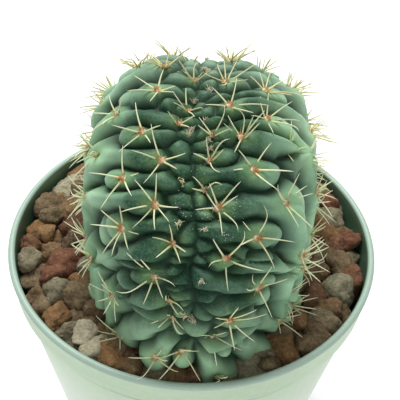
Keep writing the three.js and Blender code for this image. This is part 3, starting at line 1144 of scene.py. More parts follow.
    def back_ribs(self, side: Side) -> tuple[Rib, ...]:
        """Ribs down the back, by turns with one areole half way down and with two.

        Args:
            side: which side of the crest it is on.

        Returns:
            The ribs, from the crest's back end downwards.
        """
        ribs = []
        shift = 0 if side is Side.LEFT else self.pitch / 4
        for i, r in enumerate(np.arange(self.back_from + shift, self.last_round, self.pitch / 2)):
            single = Rib(((r, self.single_out),), (r, self.single_start))
            ribs.append(single if i % 2 else Rib(tuple((r, out) for out in self.double_outs)))
        return tuple(ribs)

    def back_buds(self, side: Side) -> tuple[Bud, ...]:
        """Buds along the crest where the list of chosen ones doesn't reach."""
        back = np.arange(self.buds_from, self.last_round, self.bud_pitch) + side.value * self.bud_shift
        return tuple(Bud(r, *self.back_bud) for r in back)

    def add_swelling(self, side: Side, place: Pair, towards: Optional[Array],
                     sizes: tuple[float, ...]) -> None:
        """Adds a swelling to the current rib.

        Args:
            side: which side of the crest it is on.
            place: its middle, in degrees.
            towards: the way that it lies, or nothing for straight away from the crest.
            sizes: its straight stretch, half length beyond that, half width and height.
        """
        round_, out = place
        centre = self.point(round_, side.value * out)
        normal = self.normal(centre)
        way = self.away(round_, side.value * out) if towards is None else towards
        axis = unit(way - normal * (way @ normal))
        self.swellings.append(Swelling(self.ribs, centre, axis, np.cross(normal, axis), *sizes))

    def add_rib(self, side: Side, rib: Rib, draw: np.random.Generator) -> None:
        """Adds a rib's chins and the necks between them.

        Args:
            side: which side of the crest it runs down.
            rib: its areoles and its start.
            draw: for the chins' small differences.
        """
        self.ribs += 1
        inner_end = rib.start
        for round_, out in rib.areoles + self.lower_places(side, *rib.areoles[-1]):
            shift, length, width, top = self.chins.sizes(round_, out)
            size = draw.uniform(*self.chin_widths)
            areole = self.point(round_, side.value * out)
            centre = areole + shift * self.away(round_, side.value * out)
            middle = self.middle_angles(side, centre)
            sizes = (0.0, length, width * size, top + rib.lift + draw.uniform(*self.chin_heights))
            self.add_swelling(side, middle, None, sizes)
            self.spiny.append((round_, side.value * out))
            if inner_end is not None:
                neck = min(width * self.neck_width, self.widest_neck)
                self.add_neck(side, inner_end, middle, neck)
            inner_end = middle

    def lower_places(self, side: Side, round_: float, out: float) -> tuple[Pair, ...]:
        """Further areoles straight below a rib's last one on the flank, down to the gravel.

        Args:
            side: which side of the crest it is on.
            round_: degrees round the crest of the last areole.
            out: degrees out of the last areole.

        Returns:
            Pairs of degrees, from the top down.
        """
        found = []
        place = self.point(round_, side.value * out)
        while out > self.flank_from and place[2] > self.lowest_chin + self.chin_pitch:
            round_, out = self.middle_angles(side, place - [0, 0, self.chin_pitch])
            place = self.point(round_, side.value * out)
            found.append((round_, out))
        return tuple(found)

    def middle_angles(self, side: Side, place: Array) -> Pair:
        """A place's angles round the crest and out from it on its own side, in degrees."""
        round_, out = self.angles(place)
        return float(round_), float(out) * side.value

    def add_neck(self, side: Side, start: Pair, end: Pair, width: float) -> None:
        """Adds the lower stretch of a rib between two places on it.

        Args:
            side: which side of the crest it is on.
            start: its inner end, in degrees.
            end: its outer end, in degrees.
            width: its half width.
        """
        low, high = (self.point(r, side.value * o) for r, o in (start, end))
        middle = ((start[0] + end[0]) / 2, (start[1] + end[1]) / 2)
        top = self.chins.sizes(*middle)[-1] * self.neck_height
        reach = float(np.linalg.norm(high - low)) / 2
        self.add_swelling(side, middle, high - low, (reach, width, width, top))

    def add_bud(self, side: Side, bud: Bud) -> None:
        """Adds one bare bud as a rib of its own.

        Args:
            side: which side of the crest it is on.
            bud: its place and sizes.
        """
        self.ribs += 1
        top = self.bud_height + self.bud_slope * min(bud.out, self.bud_slope_ends)
        self.add_swelling(side, (bud.round, bud.out), None, (0.0, bud.length, bud.width, top))

    def fill_gaps(self, side: Side, draw: np.random.Generator) -> None:
        """Adds a bare swelling at the emptiest place, again and again, until no gap is too large.

        Args:
            side: which side of the crest it is on.
            draw: for the swellings' small differences.
        """
        every = np.arange(self.first_round, self.last_round, self.gap_step)
        outs, rounds = np.meshgrid(self.gap_outs, every, indexing="ij")
        outs, rounds = outs.ravel(), rounds.ravel()
        places = self.point(rounds, side.value * outs)
        nearest = np.min([self.oval_distance(places, swelling) for swelling in self.swellings], 0)
        while nearest.max() > self.largest_gap:
            worst = int(np.argmax(nearest))
            self.ribs += 1
            _, length, width, top = self.chins.sizes(float(rounds[worst]), float(outs[worst]))
            size = draw.uniform(*self.filler_sizes)
            flank = float(smooth_step(*self.filler_outs, outs[worst]))
            height = top * (self.filler_height - self.filler_flank_lost * flank)
            sizes = (0.0, length * size, width * size, height)
            self.add_swelling(side, (rounds[worst], outs[worst]), None, sizes)
            nearest = np.minimum(nearest, self.oval_distance(places, self.swellings[-1]))

    def areoles(self) -> Areoles:
        """Every spiny areole, with the directions on the plain body there.

        Returns:
            The areoles as arrays.
        """
        round_, out = np.array(self.spiny).T
        normal = self.normal(self.point(round_, out))
        away = self.away(round_, out)
        return Areoles(round_, out, normal, away, np.cross(normal, away))

    @staticmethod
    def oval_distance(points: Array, swelling: Swelling) -> Array:
        """How far places lie from a swelling's middle line, with 1 on its outline.

        Args:
            points: places near the skin.
            swelling: the swelling.

        Returns:
            One distance for each place.
        """
        offset = points - swelling.centre
        distance = np.linalg.norm(offset, axis=-1)
        outward, sideways = offset @ swelling.axis, offset @ swelling.across
        stretch = distance / (np.hypot(outward, sideways) + 1e-9)
        past = np.clip(abs(outward) * stretch - swelling.straight, 0, None)
        return np.hypot(past / swelling.end, sideways * stretch / swelling.width)

    def rib_heights(self, points: Array) -> tuple[Array, Array]:
        """Each place's rib height, and how far it lies inside its rib: 0 at a crease and 1 in the middle.

        A rib's distance joins those of its swellings softly, by the logarithm of a sum of exponentials.

        Args:
            points: places on the plain body.

        Returns:
            The heights and the shares.
        """
        nearest = np.full(points.shape[:-1], self.far)
        following = np.full(points.shape[:-1], self.far)
        top = np.zeros(points.shape[:-1])
        rib_of = np.array([swelling.rib for swelling in self.swellings])
        for rib in np.unique(rib_of):
            own = [self.swellings[i] for i in np.nonzero(rib_of == rib)[0]]
            apart = np.min([np.linalg.norm(points - piece.centre, axis=-1)
                            - piece.straight - self.far * max(piece.end, piece.width) for piece in own], 0)
            near = np.nonzero(apart < 0)
            if not len(near[0]):
                continue
            ovals = np.array([self.oval_distance(points[near], piece) for piece in own])
            pull = np.exp(-self.rib_blend * ovals)
            total = pull.sum(0) + 1e-12
            joined = np.clip(-np.log(total) / self.rib_blend, 0, self.far)
            height = (pull * np.array([[piece.top] for piece in own])).sum(0) / total
            before = nearest[near]
            following[near] = np.minimum(following[near], np.maximum(before, joined))
            top[near] = np.where(joined < before, height, top[near])
            nearest[near] = np.minimum(before, joined)
        return top, (following - nearest) / (following + nearest + 1e-6)

    def groove(self, points: Array, round_: Array) -> Array:
        """Depth of the groove of the growing line, a bell across the crest whose middle sways.

        Args:
            points: places on the plain body.
            round_: their degrees round the crest.

        Returns:
            One depth for each place.
        """
        middle = self.groove_sway * np.sin(np.radians(round_) * self.sways_per_turn)
        fade = 1 - self.groove_lost * smooth_step(*self.groove_fades, round_)
        return self.groove_depth * fade * np.exp(-((points[..., 0] - middle) / self.groove_width) ** 2)

    def dimples(self, points: Array) -> Array:
        """Depth of the hollows that the areoles sit in.

        Args:
            points: places on the plain body.

        Returns:
            One depth for each place.
        """
        round_, out = np.array(self.spiny).T
        depth = np.zeros(points.shape[:-1])
        for middle in self.point(round_, out):
            square = ((points - middle) ** 2).sum(-1)
            depth += self.dimple_depth * np.exp(-square / self.dimple_radius ** 2)
        return depth

    def skin(self, round_: Array, out: Array) -> tuple[Array, Array, Array]:
        """Places on the finished skin, with the plain body's normals.

        Args:
            round_: degrees round the crest.
            out: degrees out from the crest.

        Returns:
            The places, the normals and how far each place has risen from a crease, from 0 to 1.
        """
        plain = self.point(round_, out)
        normal = self.normal(plain)
        sway = np.stack([ripple(plain, self.sway_length, seed) for seed in self.sway_seeds], -1)
        top, inside = self.rib_heights(plain + self.sway_size * sway)
        inside = np.clip(np.hypot(inside, self.soft_crease), 0, 1)
        dome = (1 - (1 - inside) ** self.steepness) ** self.flatness
        spread = smooth_step(*self.floor_spread, abs(plain[..., 0]))
        floor = self.crest_floor + (self.flank_floor - self.crest_floor) * spread
        wrinkle = add_ripples(plain, self.wrinkles, Seed.WRINKLES)
        raised = top * dome
        height = floor + raised - self.groove(plain, round_) - self.dimples(plain) + wrinkle
        reach = abs(np.asarray(out))
        kept = 1 - smooth_step(*self.lean_fades, reach)
        sideways = smooth_step(*self.lean_grows, reach) * kept * self.lean
        down = np.array([0, 0, -1.0]) + normal[..., 2:] * normal
        shear = self.away(round_, out) * sideways[..., None] + down * self.droop
        return plain + normal * height[..., None] + shear * raised[..., None], normal, dome

    def angles(self, points: Array) -> tuple[Array, Array]:
        """Angles round the crest and out from it of places, in degrees.

        Args:
            points: places in millimetres.

        Returns:
            The angles round and out.
        """
        v = points - np.array(self.centre)
        return (np.degrees(np.arctan2(v[..., 2], -v[..., 1])),
                np.degrees(np.arctan2(v[..., 0], np.hypot(v[..., 1], v[..., 2]))))

    def depth_inside(self, points: Array) -> Array:
        """How far places lie under the skin, along the line to the body's middle.

        Args:
            points: places in millimetres.

        Returns:
            Depths, negative outside the skin.
        """
        skin = self.skin(*self.angles(points))[0]
        middle = np.array(self.centre)
        return np.linalg.norm(skin - middle, axis=-1) - np.linalg.norm(points - middle, axis=-1)


@dataclass(frozen=True)
class SpineHabit:
    """Spines of an areole of one age: how many, their least rise in degrees, length and foot's reach."""

    fewest: int
    most: int
    rise: float
    length: float
    foot: float


@dataclass(frozen=True)
class SpineRule:
    """How spines are drawn and bent: angles in degrees, bends as shares of a spine's length.

    The last three say from which of its points on a spine has to be clear of the gravel and of the skin,
    and how deep it may lie in the skin, in millimetres.
    """

    young: SpineHabit = SpineHabit(3, 5, 30.0, 6.8, 0.45)
    old: SpineHabit = SpineHabit(5, 7, 13.0, 8.0, 0.7)
    outermost: float = 135.0
    turn_spread: float = 15.0
    shared_spread: float = 12.0
    back_turn: float = 180.0
    back_spread: float = 25.0
    back_shorter: float = 0.18
    rise_spread: float = 22.0
    far_rise: float = 16.0
    flank_rise: float = 20.0
    far_rounds: Pair = (82.0, 100.0)
    flank_outs: Pair = (22.0, 36.0)
    lengths: Pair = (0.84, 1.1)
    hooked_share: float = 0.2
    hooks: Pair = (0.12, 0.3)
    sinks: Pair = (0.02, 0.2)
    swerve: float = 0.13
    buried: float = 0.1
    lift_step: float = 5.0
    lift_tries: int = 16
    full_lift: float = 65.0
    clear_from: int = 4
    outside_from: int = 2
    deepest: float = 0.15


@dataclass
class Spines:
    """Every spine as arrays: its areole's number, turn round it, rise in degrees, length, hook and pick."""

    areole: Array
    turn: Array
    rise: Array
    length: Array
    hook: Array
    pick: Array


@dataclass
class Crest:
    """The cactus: its skin, spines, areole wool, hairs and root."""

    shape: CrestShape
    palette: Palette
    # The skin
    round_parts: tuple[tuple[float, float, int], ...] = ((-36, 125, 330), (126, 216, 110), (224, 316, 13))
    columns: int = 214
    last_out: float = 88.0
    middle_share: float = 0.72
    outer_share: float = 0.28
    old_reach: Pair = (8.0, 27.0)
    # Age and painted light: the front chins are paled partly against their shade.
    front_age_and_painted_light: float = 0.5
    front_rounds: Pair = (24.0, -8.0)
    far_skin: Pair = (75.0, 115.0)
    far_spines: Pair = (80.0, 105.0)
    fresh_reach: float = 3.2
    # The root
    root_steps: int = 14
    root_sides: int = 24
    root_length: float = 33.0
    root_top: float = 8.0
    root_tip: float = 3.0
    root_lobes: float = 0.04
    # Which areoles show, and their spines
    lowest_areole: float = 77.3
    young_out: float = 6.5
    young_from: float = 8.0
    bare_out: float = 66.0
    rule: SpineRule = SpineRule()
    spine_radius: float = 0.22
    spine_radii: Pair = (0.82, 1.12)
    spine_tip: float = 0.12
    spine_foot: float = 0.8
    foot_fade: float = 16.0
    spine_steps: int = 10
    spine_sides: int = 6
    # What the spines and the skin keep clear of
    stone_tops: float = 78.9
    rim_radius: float = 45.3
    rim_height: float = 81.0
    rim_gap: float = 1.9
    overhang: float = 4.0
    overhang_levels: Pair = (80.2, 83.0)
    box_limit: float = 53.0
    # Wool, hairs, scraps and grains
    wool_rings: int = 6
    wool_spokes: int = 12
    wool_sizes: Pair = (0.75, 1.02)
    wool_lumps: float = 0.13
    wool_lump_length: float = 0.6
    wool_pale: float = 0.25
    hair_pale: float = 0.35
    pale_slope: float = 0.9
    areole_hairs: int = 26
    tuft_hairs: int = 34
    back_tufts: int = 26
    tuft_rounds: Pair = (62.0, 200.0)
    tuft_outs: Pair = (1.2, 5.0)
    tuft_spread: float = 0.22
    hair_reaches: Pair = (0.7, 1.0)
    hair_lean: float = 0.6
    hair_spread: float = 0.45
    hair_curl: float = 0.3
    hair_lengths: Pair = (0.5, 1.0)
    tuft_lengths: Pair = (0.5, 1.1)
    hair_radius: float = 0.11
    hair_taper: float = 0.7
    hair_steps: int = 4
    hair_sides: int = 3
    scrap_bend: float = 0.35
    scrap_bend_turns: Pair = (2.5, 5.5)
    scrap_hook: float = 0.25
    scrap_hook_turns: Pair = (1.5, 3.5)
    scrap_lengths: Pair = (0.6, 1.0)
    scrap_rise: float = 0.8
    scrap_spread: float = 0.35
    scrap_radius: float = 0.16
    scrap_taper: float = 0.55
    scrap_steps: int = 12
    scrap_sides: int = 5
    grain_sizes: Pair = (0.05, 0.13)
    grain_shapes: Pair = (0.7, 1.2)

    def __post_init__(self) -> None:
        """Finds the areoles that stand clear of the gravel, and their places on the skin."""
        every = self.shape.areoles()
        places = self.shape.skin(every.round, every.out)[0]
        clear = (places[:, 2] > self.lowest_areole) & (abs(every.out) < self.bare_out)
        self.areoles = Areoles(every.round[clear], every.out[clear], every.normal[clear],
                               every.away[clear], every.along[clear])
        self.roots = places[clear]
        self.young = (abs(self.areoles.out) < self.young_out) & (self.areoles.round > self.young_from)

    def build(self) -> None:
        """Makes and dresses every piece of the plant."""
        self.make_skin()
        self.make_root()
        self.make_spines()
        self.make_wool()
        self.make_hairs()
        self.make_scraps()
        self.make_grains()

    def make_skin(self) -> None:
        """The skin: a grid of angles round the crest and out from it, flat where it sits on the soil."""
        rounds = np.concatenate([np.linspace(*part) for part in self.round_parts])
        share = np.linspace(-1, 1, self.columns)
        out = self.last_out * share * (self.middle_share + self.outer_share * abs(share) ** 3)
        grid_round, grid_out = np.meshgrid(rounds, out, indexing="ij")
        skin, _, dome = self.shape.skin(grid_round, grid_out)
        skin[..., 2] = np.maximum(skin[..., 2], self.shape.foot_level)
        over = self.overhang * smooth_step(*self.overhang_levels, skin[..., 2])
        limit = self.rim_radius + self.rim_gap + over
        skin[..., :2] *= np.minimum(1, limit / (np.hypot(skin[..., 0], skin[..., 1]) + 1e-9))[..., None]
        rows, columns = grid_round.shape
        poles = np.stack([skin[:, 0].mean(0), skin[:, -1].mean(0)])
        points = np.concatenate([skin.reshape(-1, 3), poles])
        quads = grid_quads(rows, columns, close_rows=True)
        starts = np.arange(rows) * columns
        left = fan(rows * columns, starts)
        right = fan(rows * columns + 1, starts + columns - 1)[:, [0, 2, 1]]
        outward = abs(self.shape.point(grid_round, grid_out)[..., 0])
        # Age and painted light: paler outward from the crest and at the front.
        age = np.maximum(smooth_step(*self.old_reach, outward),
                         self.front_age_and_painted_light * smooth_step(*self.front_rounds, grid_round))
        far = smooth_step(*self.far_skin, grid_round)
        values = {"age": np.append(age.ravel(), [1, 1]),
                  "dome": np.append(dome.ravel(), [1, 1]),
                  "far": np.append(far.ravel(), [0, 0]),
                  "fresh": np.append(self.areole_nearness(skin).ravel(), [0, 0])}
        piece = make_piece("crest_skin", points, quads[:, ::-1], np.concatenate([left, right]), values)
        dress(piece, self.palette.skin, Slot.PLANT, "cactus")

    def areole_nearness(self, places: Array) -> Array:
        """How near each place is to an areole, a bell of its distance from 1 down to 0.

        Args:
            places: places on the skin.

        Returns:
            One share for each place.
        """
        near = np.zeros(places.shape[:-1])
        for root in self.roots:
            near = np.maximum(near, np.exp(-((places - root) ** 2).sum(-1) / self.fresh_reach ** 2))
        return near

    def make_root(self) -> None:
        """The taproot, a turned taper with three faint lobes under the body."""
        level, steps, sides = self.shape.foot_level, self.root_steps, self.root_sides
        share = np.linspace(0, 1, steps)[:, None]
        radius = self.root_top + (self.root_tip - self.root_top) * share ** 0.8
        radii = radius * (1 + self.root_lobes * np.sin(3 * around(sides) + share * 9))
        rings = round_rings(radii, level - self.root_length * share, sides)
        ends = [[0, 0, level], [0, 0, level - self.root_length]]
        points = np.concatenate([rings.reshape(-1, 3), ends])
        piece = make_piece("taproot", points, *ring_faces(steps, sides, flip=True))
        dress(piece, self.palette.bark, Slot.PLANT)

    def grow_spines(self) -> Spines:
        """Draws every spine: spread unevenly round old areoles, fewer and more upright on young ones.

        The first one of each areole points back at the crest and is short.

        Returns:
            The spines as arrays.
        """
        draw = np.random.default_rng(Seed.SPINES)
        rule = self.rule
        rows = []
        for number, young in enumerate(self.young):
            habit = rule.young if young else rule.old
            far = float(smooth_step(*rule.far_rounds, self.areoles.round[number]))
            count = int(draw.integers(habit.fewest, habit.most + 1)) + int(round(far))
            turns = np.linspace(-rule.outermost, rule.outermost, count)
            turns = turns + draw.uniform(-rule.turn_spread, rule.turn_spread, count)
            turns += draw.uniform(-rule.shared_spread, rule.shared_spread)
            turns[0] = rule.back_turn + draw.uniform(-rule.back_spread, rule.back_spread)
            flank = float(smooth_step(*rule.flank_outs, abs(self.areoles.out[number])))
            least = habit.rise + rule.far_rise * far + rule.flank_rise * flank
            rises = least + draw.uniform(0, rule.rise_spread, count)
            spread = 1 - rule.back_shorter * (1 - np.cos(np.radians(turns)))
            lengths = habit.length * spread * draw.uniform(*rule.lengths, count)
            hooked = draw.uniform(size=count) < rule.hooked_share
            hooks = np.where(hooked, draw.uniform(*rule.hooks, count), 0.0)
            rows += [(number, *row, draw.uniform()) for row in zip(np.radians(turns), rises, lengths, hooks)]
        number, turn, rise, length, hook, pick = np.array(rows).T
        return Spines(number.astype(int), turn, rise, length, hook, pick)

    def spine_paths(self, spines: Spines) -> Array:
        """Points along every spine: a line that bends with the square of the way along it.

        Some tips are hooked. A spine that would dip under the skin, into the gravel or through the rim
        is lifted until it is clear.

        Args:
            spines: the spines as they were drawn.

        Returns:
            An array of spines by points by 3.
        """
        rule, own = self.rule, spines.areole
        away, along, normal = self.areoles.away[own], self.areoles.along[own], self.areoles.normal[own]
        draw = np.random.default_rng(Seed.BENDS)
        sink = draw.uniform(*rule.sinks, len(own))[:, None]
        swerve = draw.uniform(-rule.swerve, rule.swerve, len(own))[:, None]
        share = np.linspace(0, 1, self.spine_steps)
        flat = np.cos(spines.turn)[:, None] * away + np.sin(spines.turn)[:, None] * along
        foot = np.where(self.young[own], rule.young.foot, rule.old.foot)[:, None]
        start = self.roots[own] + foot * flat - rule.buried * normal
        lift = np.zeros(len(own))
        for _ in range(rule.lift_tries):
            rise = np.radians(spines.rise + lift)[:, None]
            way = flat * np.cos(rise) + normal * np.sin(rise)
            way = unit(way + (lift / rule.full_lift)[:, None] * np.array([0, 0, 1.0]))
            across = unit(np.cross(way, normal))
            bend = (across * swerve - normal * sink)[:, None] * (share ** 2)[:, None]
            bend += (across * np.sign(swerve) * spines.hook[:, None])[:, None] * (share ** 6)[:, None]
            paths = start[:, None] + (way[:, None] * share[:, None] + bend) * spines.length[:, None, None]
            radius = np.hypot(paths[..., 0], paths[..., 1])
            floor = np.where(radius > self.rim_radius, self.rim_height, self.stone_tops)
            low = (paths[..., 2] < floor)[:, rule.clear_from:].any(1)
            wide = (radius > self.box_limit).any(1)
            under = self.shape.depth_inside(paths[:, rule.outside_from:]).max(1) > rule.deepest
            blocked = under | low | wide
            if not blocked.any():
                break
            lift[blocked] += rule.lift_step
        LOG.info("spines still blocked: %d of %d", blocked.sum(), len(own))
        return paths

    def make_spines(self) -> None:
        """All the spines: tapering tubes with a swollen foot."""
        spines = self.grow_spines()
        draw = np.random.default_rng(Seed.TAPERS)
        paths = self.spine_paths(spines)
        share = np.linspace(0, 1, self.spine_steps)
        taper = (1 - share) ** 0.5 * (1 - self.spine_tip) + self.spine_tip
        taper += self.spine_foot * np.exp(-share * self.foot_fade)
        radii = self.spine_radius * taper * draw.uniform(*self.spine_radii, (len(paths), 1))
        points, quads, caps = sweep_tubes(paths, radii, self.spine_sides)
        far = smooth_step(*self.far_spines, self.areoles.round[spines.areole])
        values = {"along": tube_values(share, paths, self.spine_sides),
                  "pick": tube_values(spines.pick[:, None], paths, self.spine_sides),
                  "far": tube_values(far[:, None], paths, self.spine_sides)}
        piece = make_piece("spines", points, quads, caps, values)
        dress(piece, self.palette.spine, Slot.PLANT)

    def make_wool(self) -> None:
        """A lumpy felt cushion on each areole: a half ball, pale at the end nearest the crest."""
        rings, spokes = self.wool_rings, self.wool_spokes
        hole, past_half = 0.12, 1.15
        stretch, sunk, top = (1, 0.85, 0.5), (0, 0, 0.08), (0, 0, 0.42)
        polar = np.linspace(hole, 1, rings)[:, None] * math.pi / 2 * past_half
        ball = round_rings(np.sin(polar), np.cos(polar), spokes)
        shape = np.concatenate([(ball * stretch - sunk).reshape(-1, 3), [top]])
        size = np.where(self.young, *self.wool_sizes)
        bases = np.stack([self.areoles.away, self.areoles.along, self.areoles.normal], 1)
        points = self.roots[:, None] + (shape[None] * size[:, None, None]) @ bases
        lumps = self.wool_lumps * ripple(points, self.wool_lump_length, Seed.WOOL)
        points += lumps[..., None] * bases[:, None, 2]
        pale = np.clip(self.wool_pale - shape[:, 0] * self.pale_slope, 0, 1)
        number, corners = len(size), len(shape)
        quads = repeat_faces(grid_quads(rings, spokes, close_columns=True)[:, ::-1], number, corners)
        caps = repeat_faces(fan(corners - 1, np.arange(spokes)), number, corners)
        values = {"young": np.tile(pale, number)}
        piece = make_piece("areole_wool", points.reshape(-1, 3), quads, caps, values)
        dress(piece, self.palette.wool, Slot.PLANT)

    def make_hairs(self) -> None:
        """Felt hairs on the areoles, rusty outward and cream towards the crest, and tufts along it."""
        draw = np.random.default_rng(Seed.HAIRS)
        tufts = self.back_tufts
        round_ = draw.uniform(*self.tuft_rounds, tufts)
        out = draw.uniform(*self.tuft_outs, tufts) * draw.choice([-1, 1], tufts)
        spots = np.concatenate([np.array(WOOL_SPOTS, float), np.stack([round_, out], 1)])
        places, normals, _ = self.shape.skin(spots[:, 0], spots[:, 1])
        old = np.repeat(np.arange(len(self.roots)), self.areole_hairs)
        new = np.repeat(np.arange(len(places)), self.tuft_hairs)
        turn = draw.uniform(0, TURN, len(old))
        reach = np.sqrt(draw.uniform(0, 1, len(old))) * np.where(self.young[old], *self.hair_reaches)
        away, along, normal = self.areoles.away[old], self.areoles.along[old], self.areoles.normal[old]
        flat = (np.cos(turn)[:, None] * away + np.sin(turn)[:, None] * along) * reach[:, None]
        scatter = draw.normal(size=(len(new), 3)) * self.tuft_spread
        root = np.concatenate([self.roots[old] + flat, places[new] + scatter])
        up = np.concatenate([normal + flat * self.hair_lean, normals[new]])
        count = len(root)
        way = unit(draw.normal(size=(count, 3)) * self.hair_spread + up)
        length = np.concatenate([draw.uniform(*self.hair_lengths, len(old)),
                                 draw.uniform(*self.tuft_lengths, len(new))])
        share = np.linspace(0, 1, self.hair_steps)[:, None]
        curl = draw.normal(size=(count, 3)) * self.hair_curl
        paths = root[:, None] + (way[:, None] * share + curl[:, None] * share ** 2) * length[:, None, None]
        radii = np.tile(self.hair_radius * (1 - self.hair_taper * share[:, 0]), (count, 1))
        points, quads, caps = sweep_tubes(paths, radii, self.hair_sides)
        pale = np.clip(self.hair_pale - np.cos(turn) * reach * self.pale_slope, 0, 1)
        pale = np.append(pale, np.ones(len(new)))
        values = {"young": tube_values(pale[:, None], paths, self.hair_sides)}
        piece = make_piece("areole_hairs", points, quads, caps, values)
        dress(piece, self.palette.wool, Slot.PLANT)

    def make_scraps(self) -> None:
        """Dried scraps of old flowers in the groove: thin curled threads."""
        draw = np.random.default_rng(Seed.SCRAPS)
        paths = []
        share = np.linspace(0, 1, self.scrap_steps)
        for round_, out, count, reach in SCRAPS:
            roots, normals, _ = self.shape.skin(np.array([round_]), np.array([out]))
            for _ in range(count):
                way = unit(draw.normal(size=3) + normals[0] * self.scrap_rise)
                side = unit(np.cross(way, normals[0]))
                swung = np.sin(share * draw.uniform(*self.scrap_bend_turns))
                bend = swung[:, None] * side * self.scrap_bend
                turned = 1 - np.cos(share * draw.uniform(*self.scrap_hook_turns))
                hook = turned[:, None] * normals[0] * self.scrap_hook
                start = roots[0] + draw.normal(size=3) * self.scrap_spread
                curled = (way * share[:, None] + bend + hook) * reach
                paths.append(start + curled * draw.uniform(*self.scrap_lengths))
        radii = np.tile(self.scrap_radius * (1 - self.scrap_taper * share), (len(paths), 1))
        points, quads, caps = sweep_tubes(np.array(paths), radii, self.scrap_sides)
        piece = make_piece("dried_scraps", points, quads, caps)
        dress(piece, self.palette.scrap, Slot.PLANT)

    def make_grains(self) -> None:
        """White mineral dust caught beside the groove: small eight-sided grains."""
        draw = np.random.default_rng(Seed.GRAINS)
        patches = [draw.normal((r, o), spread, (count, 2)) for r, o, spread, count in DUST]
        round_, out = np.concatenate(patches).T
        places = self.shape.skin(round_, out)[0]
        number = len(places)
        corner = np.array([[1, 0, 0], [0, 1, 0], [-1, 0, 0], [0, -1, 0], [0, 0, 1], [0, 0, -1.0]])
        size = draw.uniform(*self.grain_sizes, (number, 1, 1))
        size = size * draw.uniform(*self.grain_shapes, (number, len(corner), 1))
        points = places[:, None] + corner * size
        ring = np.arange(4)
        faces = np.concatenate([fan(4, ring)[:, [1, 2, 0]], fan(5, ring)[:, [2, 1, 0]]])
        triangles = repeat_faces(faces, number, len(corner))
        piece = make_piece("mineral_grains", points.reshape(-1, 3), np.empty((0, 4), int), triangles)
        dress(piece, self.palette.grain, Slot.PLANT)


# The gravel

